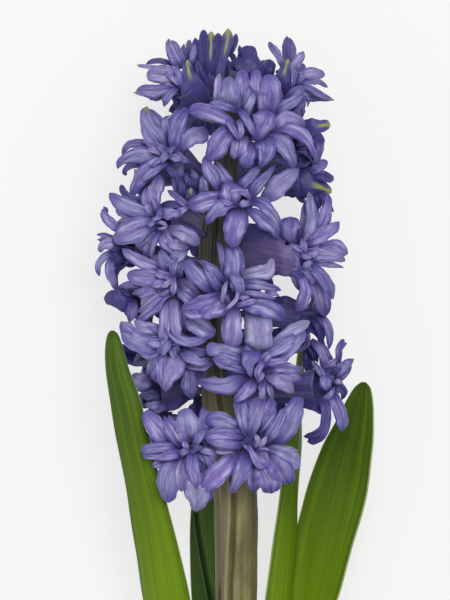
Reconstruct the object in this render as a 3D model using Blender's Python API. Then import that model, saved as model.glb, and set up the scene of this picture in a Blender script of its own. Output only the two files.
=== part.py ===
"""A double hyacinth, picked with its leaves and laid on its back.

Axes: +X across the flower, +Y along the stalk towards the top of the spike,
+Z up from the surface that it lies on. The plan is laid out on a grid of
small units: u runs to the right and v runs down the stalk from the top.
Heights are in millimetres above the surface.
"""

import math

import bmesh
import bpy
import numpy as np

# ---------------------------------------------------------------- dimensions
UNIT = 0.32  # one unit of the plan grid, mm
PLAN_U = 238.122  # the plan point that sits over the world origin
PLAN_V = 430.797
GAP = 0.30  # clear space between pieces that touch, mm
SEED = 7

SCAPE_SIDES = 16  # eight low ridges
RIDGE = 0.045  # height of a ridge as a share of the radius
# v, u, height mm, radius mm: from the cut end to the tip inside the spike
SCAPE_AXIS = [
    (828, 238.0, 9.2, 6.1),
    (795, 238.0, 9.6, 6.2),
    (760, 237.8, 10.9, 6.3),
    (720, 237.2, 13.2, 6.35),
    (680, 236.8, 16.0, 6.4),
    (640, 236.4, 19.0, 6.4),
    (600, 236.2, 22.2, 6.45),
    (560, 236.1, 25.4, 6.6),
    (525, 236.0, 28.2, 6.75),
    (498, 235.4, 29.8, 6.75),
    (470, 232.0, 30.8, 6.6),
    (440, 227.0, 31.2, 6.3),
    (405, 221.5, 31.3, 6.0),
    (370, 218.0, 31.3, 5.8),
    (330, 215.5, 31.2, 5.6),
    (290, 214.0, 31.1, 5.3),
    (250, 215.0, 31.0, 5.0),
    (215, 218.0, 31.0, 4.6),
    (180, 223.0, 31.0, 4.1),
    (150, 228.0, 31.0, 3.5),
    (120, 231.0, 31.0, 2.9),
    (98, 231.8, 31.0, 2.2),
    (90, 232.0, 31.0, 1.2),
]

# Florets that face up and to the sides. Mouth at (u, v, height), where its
# pedicel leaves the stalk (v), the way the mouth faces (right, top, up), and
# how far a petal reaches from its middle, mm.
FLORETS = {
    "floret_front_1": (251, 129, 54.5, 146, (0.18, 0.10, 1.0), 16.5),
    "floret_front_2": (241, 205, 54.5, 212, (0.15, 0.00, 1.0), 16.5),
    "floret_front_3": (230, 290, 55.0, 293, (0.05, 0.00, 1.0), 16.0),
    "floret_front_4": (256, 366, 53.0, 373, (0.28, -0.05, 1.0), 16.5),
    "floret_front_5": (251, 441, 53.0, 437, (0.18, -0.10, 1.0), 15.5),
    "floret_left_1": (178, 80, 40.0, 112, (-0.75, 0.65, 0.45), 14.0),
    "floret_left_2": (166, 152, 46.0, 184, (-0.75, 0.30, 0.80), 15.0),
    "floret_left_3": (154, 221, 46.5, 236, (-0.70, 0.05, 0.80), 15.0),
    "floret_left_4": (174, 280, 50.0, 294, (-0.50, 0.00, 0.90), 15.5),
    "floret_left_5": (168, 344, 48.0, 348, (-0.50, -0.15, 0.85), 15.5),
    "floret_left_6": (187, 448, 51.0, 441, (-0.40, -0.10, 0.95), 15.5),
    "floret_far_left_1": (124, 250, 31.5, 262, (-1.0, 0.15, 0.05), 12.0),
    "floret_far_left_2": (132, 303, 33.0, 312, (-1.0, 0.05, 0.10), 11.5),
    "floret_far_left_3": (146, 389, 31.0, 392, (-1.0, -0.20, 0.05), 12.0),
    "floret_right_1": (288, 80, 40.0, 116, (0.65, 0.70, 0.45), 14.5),
    "floret_right_2": (308, 139, 37.0, 150, (0.95, 0.25, 0.30), 12.5),
    "floret_right_3": (314, 178, 33.0, 186, (1.0, -0.05, 0.10), 12.5),
    "floret_right_4": (300, 254, 44.0, 256, (0.85, 0.00, 0.55), 15.0),
    "floret_right_5": (312, 324, 30.0, 314, (0.95, -0.25, -0.05), 12.5),
    "floret_right_6": (326, 388, 35.0, 400, (1.0, -0.10, 0.15), 14.0),
    "floret_top_1": (208, 56, 35.5, 104, (-0.15, 1.0, 0.25), 9.5),
    "floret_top_2": (246, 60, 26.5, 98, (0.20, 1.0, -0.15), 10.5),
    "bud_half_open": (188, 187, 40.0, 205, (-0.45, 0.05, 0.85), 5.0),
}

# Florets underneath, pressed on the surface: u, v, height of the mouth, where
# the pedicel leaves the stalk, the way the mouth faces, reach.
BACK_FLORETS = {
    "floret_back_01": (205, 103, 7.4, 118, (-0.30, 0.30, -1.0), 12.5),
    "floret_back_02": (262, 108, 7.4, 122, (0.35, 0.25, -1.0), 12.5),
    "floret_back_03": (228, 163, 6.3, 165, (0.02, 0.05, -1.0), 13.5),
    "floret_back_04": (150, 172, 20.0, 184, (-1.0, 0.10, -0.55), 12.5),
    "floret_back_05": (292, 170, 18.5, 180, (1.0, 0.08, -0.60), 12.5),
    "floret_back_06": (188, 222, 7.3, 226, (-0.25, 0.05, -1.0), 13.5),
    "floret_back_07": (250, 264, 7.3, 266, (0.30, -0.03, -1.0), 13.5),
    "floret_back_08": (147, 298, 14.5, 300, (-0.90, 0.00, -0.85), 12.5),
    "floret_back_09": (211, 296, 6.2, 298, (-0.02, 0.00, -1.0), 13.5),
    "floret_back_10": (288, 246, 15.5, 250, (1.0, 0.00, -0.80), 12.5),
    "floret_back_11": (178, 357, 7.3, 358, (-0.30, -0.05, -1.0), 13.5),
    "floret_back_12": (252, 360, 7.3, 362, (0.30, -0.05, -1.0), 13.5),
    "floret_back_13": (220, 428, 6.3, 424, (0.00, -0.05, -1.0), 12.5),
    "floret_back_14": (160, 432, 20.0, 424, (-1.0, -0.10, -0.55), 12.5),
    "floret_back_15": (272, 430, 13.0, 428, (0.70, -0.10, -0.90), 11.5),
}

# Leaves. Each station: v, u, height mm, way the outer face looks (degrees from
# straight up towards +X), width mm, radius of the channel mm.
LEAF_THICK = 1.15
LEAF_EDGE = 0.45
LEAVES = {
    "leaf_left": [
        (828, None, 8.75, -78, 15.8, 8.75),
        (795, 206.0, 13.2, -72, 16.0, 9.4),
        (760, 200.0, 16.2, -68, 16.4, 10.6),
        (720, 190.5, 19.8, -63, 17.4, 12.6),
        (680, 181.0, 23.4, -56, 18.0, 14.5),
        (640, 171.5, 27.0, -44, 18.4, 17.0),
        (600, 163.1, 30.6, -32, 18.6, 18.6),
        (550, 155.1, 34.6, -28, 16.3, 19.3),
        (500, 145.5, 37.8, -26, 13.9, 18.4),
        (450, 134.4, 40.2, -25, 12.2, 16.2),
        (400, 124.4, 41.8, -25, 11.0, 15.8),
        (365, 116.2, 42.2, -25, 8.1, 12.0),
        (345, 113.8, 42.0, -25, 5.8, 9.3),
        (334, 113.1, 41.4, -25, 3.4, 6.5),
    ],
    "leaf_right": [
        (828, None, 8.75, 72, 15.8, 8.75),
        (795, 269.5, 12.2, 76, 16.2, 9.4),
        (760, 276.4, 12.6, 83, 16.8, 10.6),
        (720, 285.4, 13.2, 96, 17.8, 13.2),
        (680, 295.0, 13.8, 112, 18.8, 16.5),
        (640, 305.5, 14.2, 130, 20.0, 21.0),
        (600, 315.3, 15.0, 145, 21.2, 25.6),
        (550, 325.5, 17.0, 150, 22.7, 32.1),
        (500, 337.9, 19.0, 153, 22.4, 34.4),
        (450, 349.3, 20.8, 154, 18.6, 31.0),
        (420, 356.9, 21.6, 154, 13.0, 23.9),
        (398, 361.1, 22.0, 154, 7.8, 16.5),
        (387, 362.7, 22.0, 154, 3.8, 8.4),
    ],
    "leaf_right_narrow": [
        (828, None, 7.30, 70, 12.0, 7.30),
        (795, 262.8, 13.8, 69, 12.3, 7.9),
        (760, 266.4, 16.0, 67, 12.8, 9.0),
        (720, 270.2, 18.6, 66, 13.2, 10.6),
        (680, 273.8, 21.2, 65, 13.5, 12.4),
        (640, 279.0, 23.8, 63, 15.6, 17.0),
        (600, 283.8, 25.8, 60, 18.1, 21.6),
        (550, 288.4, 26.4, 62, 16.4, 21.4),
        (500, 291.5, 26.0, 64, 13.5, 18.5),
        (450, 295.3, 24.6, 66, 11.8, 16.8),
        (410, 297.5, 23.2, 70, 9.0, 13.0),
        (375, 300.5, 22.0, 76, 5.6, 9.0),
        (350, 302.6, 21.2, 76, 2.6, 5.0),
    ],
    "leaf_back": [
        (828, None, 8.75, 180, 12.8, 8.75),
        (795, 235.0, 0.85, 181, 13.2, 9.6),
        (760, 231.2, 0.90, 181, 13.6, 13.0),
        (720, 226.8, 0.85, 180, 14.0, 30.0),
        (680, 222.4, 0.75, 180, 14.4, 900.0),
        (640, 218.0, 0.75, 180, 14.6, 900.0),
        (600, 213.8, 0.75, 180, 14.6, 900.0),
        (550, 211.2, 0.75, 180, 14.0, 900.0),
        (515, 209.6, 0.75, 180, 12.4, 900.0),
        (490, 208.5, 0.75, 180, 9.6, 900.0),
        (474, 207.8, 0.75, 180, 5.6, 900.0),
        (466, 207.4, 0.75, 180, 2.4, 900.0),
    ],
}

COLOURS = {
    "scape": (0.150, 0.125, 0.055),
    "leaf": (0.075, 0.150, 0.020),
    "leaf_dark": (0.018, 0.050, 0.016),
    "petal": (0.270, 0.245, 0.560),
    "petal_dark": (0.090, 0.060, 0.230),
}

UP = np.array([0.0, 0.0, 1.0])
FLOOR = 0.0


# ------------------------------------------------------------------- helpers
def plan(u, v, height):
    """A plan point and a height, as millimetres in the world."""
    return np.array([(u - PLAN_U) * UNIT, (PLAN_V - v) * UNIT, height])


def unit(vector):
    return np.asarray(vector, float) / (np.linalg.norm(vector) or 1.0)


def smooth_table(table, at, column):
    """A column of a table against its first column, on a monotone cubic."""
    rows = sorted(table, key=lambda row: row[0])
    x = np.array([row[0] for row in rows], float)
    y = np.array([row[column] for row in rows], float)
    h = np.diff(x)
    slope = np.diff(y) / h
    m = np.zeros(len(x))
    m[0], m[-1] = slope[0], slope[-1]
    for i in range(1, len(x) - 1):
        if slope[i - 1] * slope[i] > 0:
            w1, w2 = 2 * h[i] + h[i - 1], h[i] + 2 * h[i - 1]
            m[i] = (w1 + w2) / (w1 / slope[i - 1] + w2 / slope[i])
    at = min(max(at, x[0]), x[-1])
    i = min(max(int(np.searchsorted(x, at)) - 1, 0), len(h) - 1)
    t = (at - x[i]) / h[i]
    return (
        (2 * t**3 - 3 * t**2 + 1) * y[i]
        + (t**3 - 2 * t**2 + t) * h[i] * m[i]
        + (-2 * t**3 + 3 * t**2) * y[i + 1]
        + (t**3 - t**2) * h[i] * m[i + 1]
    )


def scape_at(v):
    """The stalk's centre and radius at v."""
    u, height, radius = (smooth_table(SCAPE_AXIS, v, c) for c in (1, 2, 3))
    return plan(u, v, height), radius


def material(name, colour, roughness):
    made = bpy.data.materials.new(name)
    made.use_nodes = True
    shader = made.node_tree.nodes["Principled BSDF"]
    shader.inputs["Base Color"].default_value = (*colour, 1.0)
    shader.inputs["Roughness"].default_value = roughness
    shader.inputs["Metallic"].default_value = 0.0
    made.diffuse_color = (*colour, 1.0)
    return made


def lofted(name, rings, colour, roughness):
    """One closed body from rings of points, in mm, with both ends closed."""
    count = len(rings[0])
    mesh = bpy.data.meshes.new(name)
    shape = bmesh.new()
    made = [[shape.verts.new(tuple(p * 0.001)) for p in ring] for ring in rings]
    for a, b in zip(made, made[1:]):
        for i in range(count):
            j = (i + 1) % count
            shape.faces.new((a[i], a[j], b[j], b[i]))
    shape.faces.new(tuple(reversed(made[0])))
    shape.faces.new(tuple(made[-1]))
    bmesh.ops.triangulate(shape, faces=[f for f in shape.faces if len(f.verts) > 4])
    bmesh.ops.recalc_face_normals(shape, faces=shape.faces)
    if shape.calc_volume(signed=True) < 0:
        bmesh.ops.reverse_faces(shape, faces=shape.faces)
    shape.to_mesh(mesh)
    shape.free()
    mesh.shade_smooth()
    mesh.set_sharp_from_angle(angle=math.radians(40))
    mesh.materials.append(material(name, colour, roughness))
    made_object = bpy.data.objects.new(name, mesh)
    bpy.context.scene.collection.objects.link(made_object)
    return made_object


# --------------------------------------------------------------------- scape
def build_scape():
    rings = []
    for v, _, _, _ in SCAPE_AXIS:
        centre, radius = scape_at(v)
        ahead, _ = scape_at(v - 3)
        behind, _ = scape_at(v + 3)
        along = unit(ahead - behind)
        if v == SCAPE_AXIS[0][0]:
            along = np.array([0.0, 1.0, 0.0])  # cut square across
        side = unit(np.cross(along, UP))
        up = np.cross(side, along)
        ring = []
        for k in range(SCAPE_SIDES):
            angle = 2 * math.pi * k / SCAPE_SIDES
            r = radius * (1.0 + RIDGE * (1 if k % 2 else -1))
            ring.append(centre + r * (math.cos(angle) * side + math.sin(angle) * up))
        rings.append(ring)
    lofted("scape", rings, COLOURS["scape"], 0.55)


# -------------------------------------------------------------------- leaves
def leaf_section(v, u, height, facing, width, bend):
    """Centre line, outer normal and width direction of one leaf section. With
    u None the height is the section's distance from the stalk's axis."""
    angle = math.radians(facing)
    normal = np.array([math.sin(angle), 0.0, math.cos(angle)])
    across = np.array([math.cos(angle), 0.0, -math.sin(angle)])
    if u is None:
        centre, _ = scape_at(v)
        middle = centre + height * normal
    else:
        middle = plan(u, v, height)
    return middle, normal, across, width, bend


def leaf_table(rows):
    """The stations with every row on world coordinates, for interpolation."""
    table = []
    for v, u, height, facing, width, bend in rows:
        middle, *_ = leaf_section(v, u, height, facing, width, bend)
        table.append((v, middle[0], middle[2], facing, width, 1.0 / bend))
    return table


def leaf_rings(rows, samples=5):
    table = leaf_table(rows)
    first, last = rows[0][0], rows[-1][0]
    stations = sorted({row[0] for row in rows} | {first, last}, reverse=True)
    rings = []
    for v in stations:
        x, z, facing, width, curve = (smooth_table(table, v, c) for c in range(1, 6))
        angle = math.radians(facing)
        normal = np.array([math.sin(angle), 0.0, math.cos(angle)])
        across = np.array([math.cos(angle), 0.0, -math.sin(angle)])
        middle = np.array([x, (PLAN_V - v) * UNIT, z])
        outer, inner = [], []
        for k in range(samples + 2):
            s = -width / 2 + width * k / (samples + 1)
            a = s * curve
            radius = 1.0 / curve
            point = (
                middle
                + radius * (math.cos(a) - 1.0) * normal
                + radius * math.sin(a) * across
            )
            out = math.cos(a) * normal + math.sin(a) * across
            share = abs(2.0 * s / width)
            half = 0.5 * (LEAF_EDGE + (LEAF_THICK - LEAF_EDGE) * (1 - share**3))
            half *= min(1.0, 0.45 + width / 14.0)
            outer.append(point + half * out)
            inner.append(point - half * out)
        ring = outer + inner[::-1]
        rings.append([np.array([p[0], p[1], max(p[2], FLOOR)]) for p in ring])
    return rings


def build_leaves():
    made = {}
    for name, rows in LEAVES.items():
        rings = leaf_rings(rows)
        colour = COLOURS["leaf_dark" if name == "leaf_back" else "leaf"]
        lofted(name, rings, colour, 0.4)
        made[name] = np.array([p for ring in rings for p in ring])
    return made


# ------------------------------------------------------------------- florets
class Floret:
    """The middle line and the frame of one floret, before it meets the rest."""

    def __init__(self, name, u, v, height, v_attach, facing, reach):
        self.name, self.reach = name, reach
        self.mouth = plan(u, v, height)
        self.facing = unit(facing)
        centre, radius = scape_at(v_attach)
        ahead, _ = scape_at(v_attach - 4)
        along = unit(ahead - centre)
        off = self.mouth - centre
        self.outward = unit(off - along * np.dot(off, along))
        start = centre + self.outward * radius * (1 + RIDGE)
        length = np.linalg.norm(self.mouth - start)
        bend = self.mouth - self.facing * 0.45 * length
        lean = unit(bend - start)
        clear = 1.5 * math.sqrt(max(0.0, 1 - np.dot(lean, self.outward) ** 2))
        self.start = start + self.outward * (GAP + clear)
        self.bend = bend
        self.length = np.linalg.norm(self.mouth - self.start)

    def axis(self, share):
        """A point on the curved middle line: 0 at the stalk, 1 at the mouth,
        straight on past the mouth."""
        if share > 1.0:
            return self.mouth + self.facing * (share - 1.0) * self.length
        t = share
        return (1 - t) ** 2 * self.start + 2 * t * (1 - t) * self.bend + t**2 * self.mouth

    def along(self, share):
        if share >= 1.0:
            return self.facing
        t = share
        return unit(2 * (1 - t) * (self.bend - self.start) + 2 * t * (self.mouth - self.bend))

    def core(self):
        """Points of the middle line, with the room that the tube needs there."""
        top = 1.0 + 6.4 / self.length
        return (
            np.array([self.axis(s) for s in (0.0, 0.2, 0.4, 0.6, 0.8, 1.0, top)]),
            np.array([1.5, 1.6, 3.3, 3.3, 4.2, 7.0, 7.0]) * min(1.0, self.reach / 11.0),
        )


def split(p, rp, q, rq):
    """The plane between two sets of points that leaves each the most room over
    what it needs: its normal, and its place along that normal."""
    normal = unit(p.mean(axis=0) - q.mean(axis=0))
    best = (-1e9, normal, 0.0)
    for step in range(90):
        low, high = p @ normal - rp, q @ normal + rq
        i, j = int(np.argmin(low)), int(np.argmax(high))
        if low[i] - high[j] > best[0]:
            best = (low[i] - high[j], normal, 0.5 * (low[i] + high[j]))
        normal = unit(normal + (0.6 / (1 + 0.25 * step)) * unit(p[i] - q[j]))
    return best


def floret_cells(florets, leaves, scape_points):
    """For each floret the half-spaces n.x <= d that it keeps to."""
    cells = {f.name: [] for f in florets}
    for a, first in enumerate(florets):
        p, rp = first.core()
        for second in florets[a + 1 :]:
            q, rq = second.core()
            if np.linalg.norm(p[-2] - q[-2]) > 62 and np.linalg.norm(p[0] - q[0]) > 40:
                continue
            _, normal, place = split(p, rp, q, rq)
            cells[first.name].append((-normal, -(place + GAP / 2)))
            cells[second.name].append((normal, place - GAP / 2))
        for points in leaves.values():
            near = points[
                np.min(np.linalg.norm(points[:, None] - p[None], axis=2), axis=1) < 26
            ]
            if len(near):
                _, normal, place = split(p, rp, near, np.full(len(near), 0.1))
                place = max(place, float((near @ normal).max()) + GAP)
                cells[first.name].append((-normal, -place))
        near = scape_points[np.abs(scape_points[:, 1] - first.start[1]) < 24]
        place = float((near @ first.outward).max()) + GAP
        cells[first.name].append((-first.outward, -place))
    return cells


def floret_rings(floret, cell, rng, petals, pointed):
    """Rings of points from the pedicel, over the tube and the recurved petals,
    to the inner petals that stand in the mouth. Each petal is two points wide
    at its tip, or one if pointed, and there is one point between petals."""
    size = floret.reach / 16.0
    reach, mouth = floret.reach, 1.0
    mm = 1.0 / floret.length
    tube = min(1.0, 0.62 + 0.38 * size)
    profile = [
        # share and radius between the petals, share and radius at the petals
        (0.00, 1.30, 0.00, 1.30),
        (0.16, 1.35, 0.16, 1.35),
        (0.36, 3.10 * tube, 0.36, 3.10 * tube),
        (0.64, 3.00 * tube, 0.64, 3.00 * tube),
        (0.88, 4.10 * tube, 0.88, 4.50 * tube),
        (mouth - 0.4 * mm, 5.2 * size, mouth + 0.5 * mm, 0.62 * reach),
        (mouth + 0.6 * mm, 6.6 * size, mouth - 2.2 * mm, reach),
        (mouth + 1.3 * mm, 6.4 * size, mouth - 1.2 * mm, reach - 0.2),
        (mouth + 2.1 * mm, 5.5 * size, mouth + 2.1 * mm, 0.60 * reach),
        (mouth + 2.7 * mm, 4.4 * size, mouth + 2.8 * mm, 5.2 * size),
        (mouth + 5.6 * mm, 4.2 * size, mouth + 6.4 * mm, 6.2 * size),
        (mouth + 5.0 * mm, 1.8 * size, mouth + 5.2 * mm, 2.3 * size),
    ]
    roll = rng.uniform(0, math.pi / 3)
    longer = 1.0 + rng.uniform(-0.12, 0.08, petals)
    lower = rng.uniform(-1.2, 1.0, petals) * mm
    step = 2 * math.pi / petals
    tips = [("gap", 0.0), ("petal", 0.20), ("petal", 0.80)]
    if pointed:
        tips = [("gap", 0.0), ("petal", 0.5)]
    reference = np.array([0.0, 1.0, 0.0])
    if abs(np.dot(reference, floret.facing)) > 0.8:
        reference = UP
    rings = []
    for level, (s_gap, r_gap, s_petal, r_petal) in enumerate(profile):
        ring = []
        for k in range(petals):
            for part, turn in tips:
                share, radius = (
                    (s_gap, r_gap) if part == "gap" else (s_petal, r_petal)
                )
                if part == "petal" and 5 <= level <= 8:
                    radius *= longer[k]
                    share += lower[k] * (1.0 if level in (6, 7) else 0.4)
                angle = roll + (k + turn) * step
                centre, along = floret.axis(share), floret.along(min(share, 1.0))
                side = unit(np.cross(reference, along))
                up = np.cross(along, side)
                if level > 2:
                    centre = np.array([centre[0], centre[1], max(centre[2], 0.25)])
                offset = radius * (math.cos(angle) * side + math.sin(angle) * up)
                point = centre + offset
                if -1.6 < point[2] < FLOOR:
                    point[2] = FLOOR
                    offset = point - centre
                limit = 1.0
                checks = cell if level > 1 else [c for c in cell[:-1]]
                for normal, place in checks + [(-UP, -FLOOR)]:
                    rate = float(np.dot(normal, offset))
                    room = place - float(np.dot(normal, centre))
                    if rate > 1e-9 and rate * limit > room:
                        limit = max(room / rate, 0.12)
                ring.append(centre + limit * offset)
        rings.append(ring)
    return rings


def build_florets(leaves, scape_points):
    rng = np.random.default_rng(SEED)
    florets = [
        Floret(name, *row) for name, row in {**FLORETS, **BACK_FLORETS}.items()
    ]
    cells = floret_cells(florets, leaves, scape_points)
    for floret in florets:
        back = floret.name.startswith("floret_back")
        petals = 5 if floret.name == "bud_half_open" else 6
        rings = floret_rings(floret, cells[floret.name], rng, petals, back)
        share = rng.uniform(0.0, 1.0)
        low, high = COLOURS["petal_dark"], COLOURS["petal"]
        mix = 0.75 + 0.25 * share if not back else 0.45 + 0.3 * share
        colour = tuple(a + (b - a) * mix for a, b in zip(low, high))
        lofted(floret.name, rings, colour, 0.5)


def main():
    for old in list(bpy.data.objects):
        bpy.data.objects.remove(old, do_unlink=True)
    build_scape()
    leaves = build_leaves()
    scape = bpy.data.objects["scape"]
    scape_points = np.array([v.co for v in scape.data.vertices]) * 1000.0
    build_florets(leaves, scape_points)


main()
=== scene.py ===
"""How a double hyacinth looks: every petal, tube, leaf and the stalk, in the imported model's frame."""

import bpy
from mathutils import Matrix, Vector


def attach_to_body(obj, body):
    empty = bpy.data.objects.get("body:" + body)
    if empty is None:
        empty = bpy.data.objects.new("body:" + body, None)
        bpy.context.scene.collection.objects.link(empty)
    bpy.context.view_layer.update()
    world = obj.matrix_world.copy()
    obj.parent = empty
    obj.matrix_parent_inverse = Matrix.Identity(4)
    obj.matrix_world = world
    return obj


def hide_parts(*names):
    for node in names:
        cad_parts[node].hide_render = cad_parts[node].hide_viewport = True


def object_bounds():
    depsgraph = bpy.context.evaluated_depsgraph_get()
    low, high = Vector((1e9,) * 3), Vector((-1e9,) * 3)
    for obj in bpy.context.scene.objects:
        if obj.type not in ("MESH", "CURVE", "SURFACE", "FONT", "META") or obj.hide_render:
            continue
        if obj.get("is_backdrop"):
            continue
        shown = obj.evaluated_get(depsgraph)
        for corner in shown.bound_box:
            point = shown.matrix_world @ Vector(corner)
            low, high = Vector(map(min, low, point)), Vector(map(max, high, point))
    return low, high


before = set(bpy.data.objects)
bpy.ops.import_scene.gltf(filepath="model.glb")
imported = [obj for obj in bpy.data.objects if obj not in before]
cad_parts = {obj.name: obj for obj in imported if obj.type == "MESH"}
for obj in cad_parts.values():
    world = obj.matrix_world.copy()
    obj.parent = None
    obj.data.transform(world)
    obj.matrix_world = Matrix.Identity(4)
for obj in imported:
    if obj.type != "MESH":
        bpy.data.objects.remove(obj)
cad_low, cad_high = (list(corner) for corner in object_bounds())

import math

import bpy
import numpy as np

# ------------------------------------------------------------------ the plan
# A grid of small units over the flower as it lies: u to the right, v down the
# stalk. Heights are in millimetres above the surface.
UNIT = 0.32
PLAN_U, PLAN_V = 238.122, 430.797
MIDDLE = [500.0 * (cad_low[i] + cad_high[i]) for i in (0, 1)]
UP = np.array([0.0, 0.0, 1.0])


def plan(u, v, height=0.0):
    return np.array(
        [MIDDLE[0] + (u - PLAN_U) * UNIT, MIDDLE[1] + (PLAN_V - v) * UNIT, height]
    )


def unit(vector):
    vector = np.asarray(vector, float)
    return vector / (np.linalg.norm(vector) or 1.0)


def smooth(x):
    x = np.clip(x, 0.0, 1.0)
    return x * x * (3 - 2 * x)


SCAPE_AXIS = [
    (828, 238.0, 9.2, 6.1),
    (795, 238.0, 9.6, 6.2),
    (760, 237.8, 10.9, 6.3),
    (720, 237.2, 13.2, 6.35),
    (680, 236.8, 16.0, 6.4),
    (640, 236.4, 19.0, 6.4),
    (600, 236.2, 22.2, 6.45),
    (560, 236.1, 25.4, 6.6),
    (525, 236.0, 28.2, 6.75),
    (498, 235.4, 29.8, 6.75),
    (470, 232.0, 30.8, 6.6),
    (440, 227.0, 31.2, 6.3),
    (405, 221.5, 31.3, 6.0),
    (370, 218.0, 31.3, 5.8),
    (330, 215.5, 31.2, 5.6),
    (290, 214.0, 31.1, 5.3),
    (250, 215.0, 31.0, 5.0),
    (215, 218.0, 31.0, 4.6),
    (180, 223.0, 31.0, 4.1),
    (150, 228.0, 31.0, 3.5),
    (120, 231.0, 31.0, 2.9),
    (98, 231.8, 31.0, 2.2),
    (90, 232.0, 31.0, 1.2),
]


def monotone(table, at, column):
    """A column of a table against its first column, on a monotone cubic."""
    rows = sorted(table, key=lambda row: row[0])
    x = np.array([row[0] for row in rows], float)
    y = np.array([row[column] for row in rows], float)
    h = np.diff(x)
    slope = np.diff(y) / h
    m = np.zeros(len(x))
    m[0], m[-1] = slope[0], slope[-1]
    for i in range(1, len(x) - 1):
        if slope[i - 1] * slope[i] > 0:
            w1, w2 = 2 * h[i] + h[i - 1], h[i] + 2 * h[i - 1]
            m[i] = (w1 + w2) / (w1 / slope[i - 1] + w2 / slope[i])
    at = np.clip(np.asarray(at, float), x[0], x[-1])
    i = np.clip(np.searchsorted(x, at) - 1, 0, len(h) - 1)
    t = (at - x[i]) / h[i]
    return (
        (2 * t**3 - 3 * t**2 + 1) * y[i]
        + (t**3 - 2 * t**2 + t) * h[i] * m[i]
        + (-2 * t**3 + 3 * t**2) * y[i + 1]
        + (t**3 - t**2) * h[i] * m[i + 1]
    )


def scape_at(v):
    u, height, radius = (float(monotone(SCAPE_AXIS, v, c)) for c in (1, 2, 3))
    return plan(u, v, height), radius


# -------------------------------------------------------------------- shells
NUMBERS = ("along", "across", "outer", "tone", "green", "tube", "pale", "violet")


class Shape:
    """Closed shells gathered into one mesh, each point with the numbers that the material reads."""

    def __init__(self):
        self.points, self.faces, self.count = [], [], 0
        self.numbers = {name: [] for name in NUMBERS}

    def _keep(self, points, faces, numbers):
        self.points.append(points)
        self.faces.append(faces + self.count)
        self.count += len(points)
        for name in NUMBERS:
            value = numbers.get(name, 0.0)
            self.numbers[name].append(
                np.broadcast_to(np.asarray(value, float), (len(points),)).copy()
            )

    def sheet(self, top, bottom, along, across, **same):
        """A thin closed sheet between two grids of points, and a rim round it."""
        ns, nt = top.shape[:2]
        index = np.arange(ns * nt).reshape(ns, nt)
        under = index + ns * nt
        a, b, c, d = index[:-1, :-1], index[:-1, 1:], index[1:, 1:], index[1:, :-1]
        faces = [np.stack([a, b, c, d], -1).reshape(-1, 4)]
        a, b, c, d = under[:-1, :-1], under[:-1, 1:], under[1:, 1:], under[1:, :-1]
        faces.append(np.stack([a, d, c, b], -1).reshape(-1, 4))
        faces.append(
            np.stack([index[:-1, 0], index[1:, 0], under[1:, 0], under[:-1, 0]], -1)
        )
        faces.append(
            np.stack([index[:-1, -1], under[:-1, -1], under[1:, -1], index[1:, -1]], -1)
        )
        faces.append(
            np.stack([index[0, :-1], under[0, :-1], under[0, 1:], index[0, 1:]], -1)
        )
        faces.append(
            np.stack([index[-1, :-1], index[-1, 1:], under[-1, 1:], under[-1, :-1]], -1)
        )
        points = np.concatenate([top.reshape(-1, 3), bottom.reshape(-1, 3)])
        numbers = dict(same)
        numbers["along"] = np.tile(along.reshape(-1), 2)
        numbers["across"] = np.tile(across.reshape(-1), 2)
        flip = bool(numbers.pop("flip", False))
        numbers["outer"] = np.repeat([float(flip), float(not flip)], ns * nt)
        self._keep(points, np.concatenate(faces), numbers)

    def rings(self, rings, along, across, **same):
        """A closed body from rings of points, its ends closed by fans of quads round a middle point."""
        rings = np.asarray(rings)
        ns, nt = rings.shape[:2]
        index = np.arange(ns * nt).reshape(ns, nt)
        ahead = np.roll(index, -1, axis=1)
        faces = [
            np.stack([index[:-1], ahead[:-1], ahead[1:], index[1:]], -1).reshape(-1, 4)
        ]
        points = [rings.reshape(-1, 3)]
        first, last = ns * nt, ns * nt + 1
        points.append(rings[0].mean(0)[None])
        points.append(rings[-1].mean(0)[None])
        half = nt // 2
        start, end = [], []
        for k in range(half):
            i, j, l = 2 * k, (2 * k + 1) % nt, (2 * k + 2) % nt
            start.append([first, index[0, l], index[0, j], index[0, i]])
            end.append([last, index[-1, i], index[-1, j], index[-1, l]])
        faces += [np.array(start), np.array(end)]
        numbers = dict(same)
        along = np.broadcast_to(np.asarray(along, float), (ns, nt))
        across = np.broadcast_to(np.asarray(across, float), (ns, nt))
        numbers["along"] = np.concatenate(
            [along.reshape(-1), [along[0].mean(), along[-1].mean()]]
        )
        numbers["across"] = np.concatenate(
            [across.reshape(-1), [across[0].mean(), across[-1].mean()]]
        )
        for name, value in same.items():
            value = np.asarray(value, float)
            if value.shape == (ns, nt):
                numbers[name] = np.concatenate(
                    [value.reshape(-1), [value[0].mean(), value[-1].mean()]]
                )
        self._keep(np.concatenate(points), np.concatenate(faces), numbers)

    def piece(self, name, materials):
        points = np.concatenate(self.points) * 0.001
        faces = np.concatenate(self.faces)
        mesh = bpy.data.meshes.new(name)
        mesh.vertices.add(len(points))
        mesh.vertices.foreach_set("co", points.astype(np.float32).ravel())
        mesh.loops.add(faces.size)
        mesh.loops.foreach_set("vertex_index", faces.astype(np.int32).ravel())
        mesh.polygons.add(len(faces))
        mesh.polygons.foreach_set(
            "loop_start", np.arange(0, faces.size, 4, dtype=np.int32)
        )
        mesh.polygons.foreach_set(
            "loop_total", np.full(len(faces), 4, dtype=np.int32)
        )
        for key in NUMBERS:
            layer = mesh.attributes.new(key, "FLOAT", "POINT")
            layer.data.foreach_set(
                "value", np.concatenate(self.numbers[key]).astype(np.float32)
            )
        mesh.update(calc_edges=True)
        mesh.validate()
        mesh.shade_smooth()
        for made in materials:
            mesh.materials.append(made)
        piece = bpy.data.objects.new(name, mesh)
        bpy.context.scene.collection.objects.link(piece)
        return piece


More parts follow.
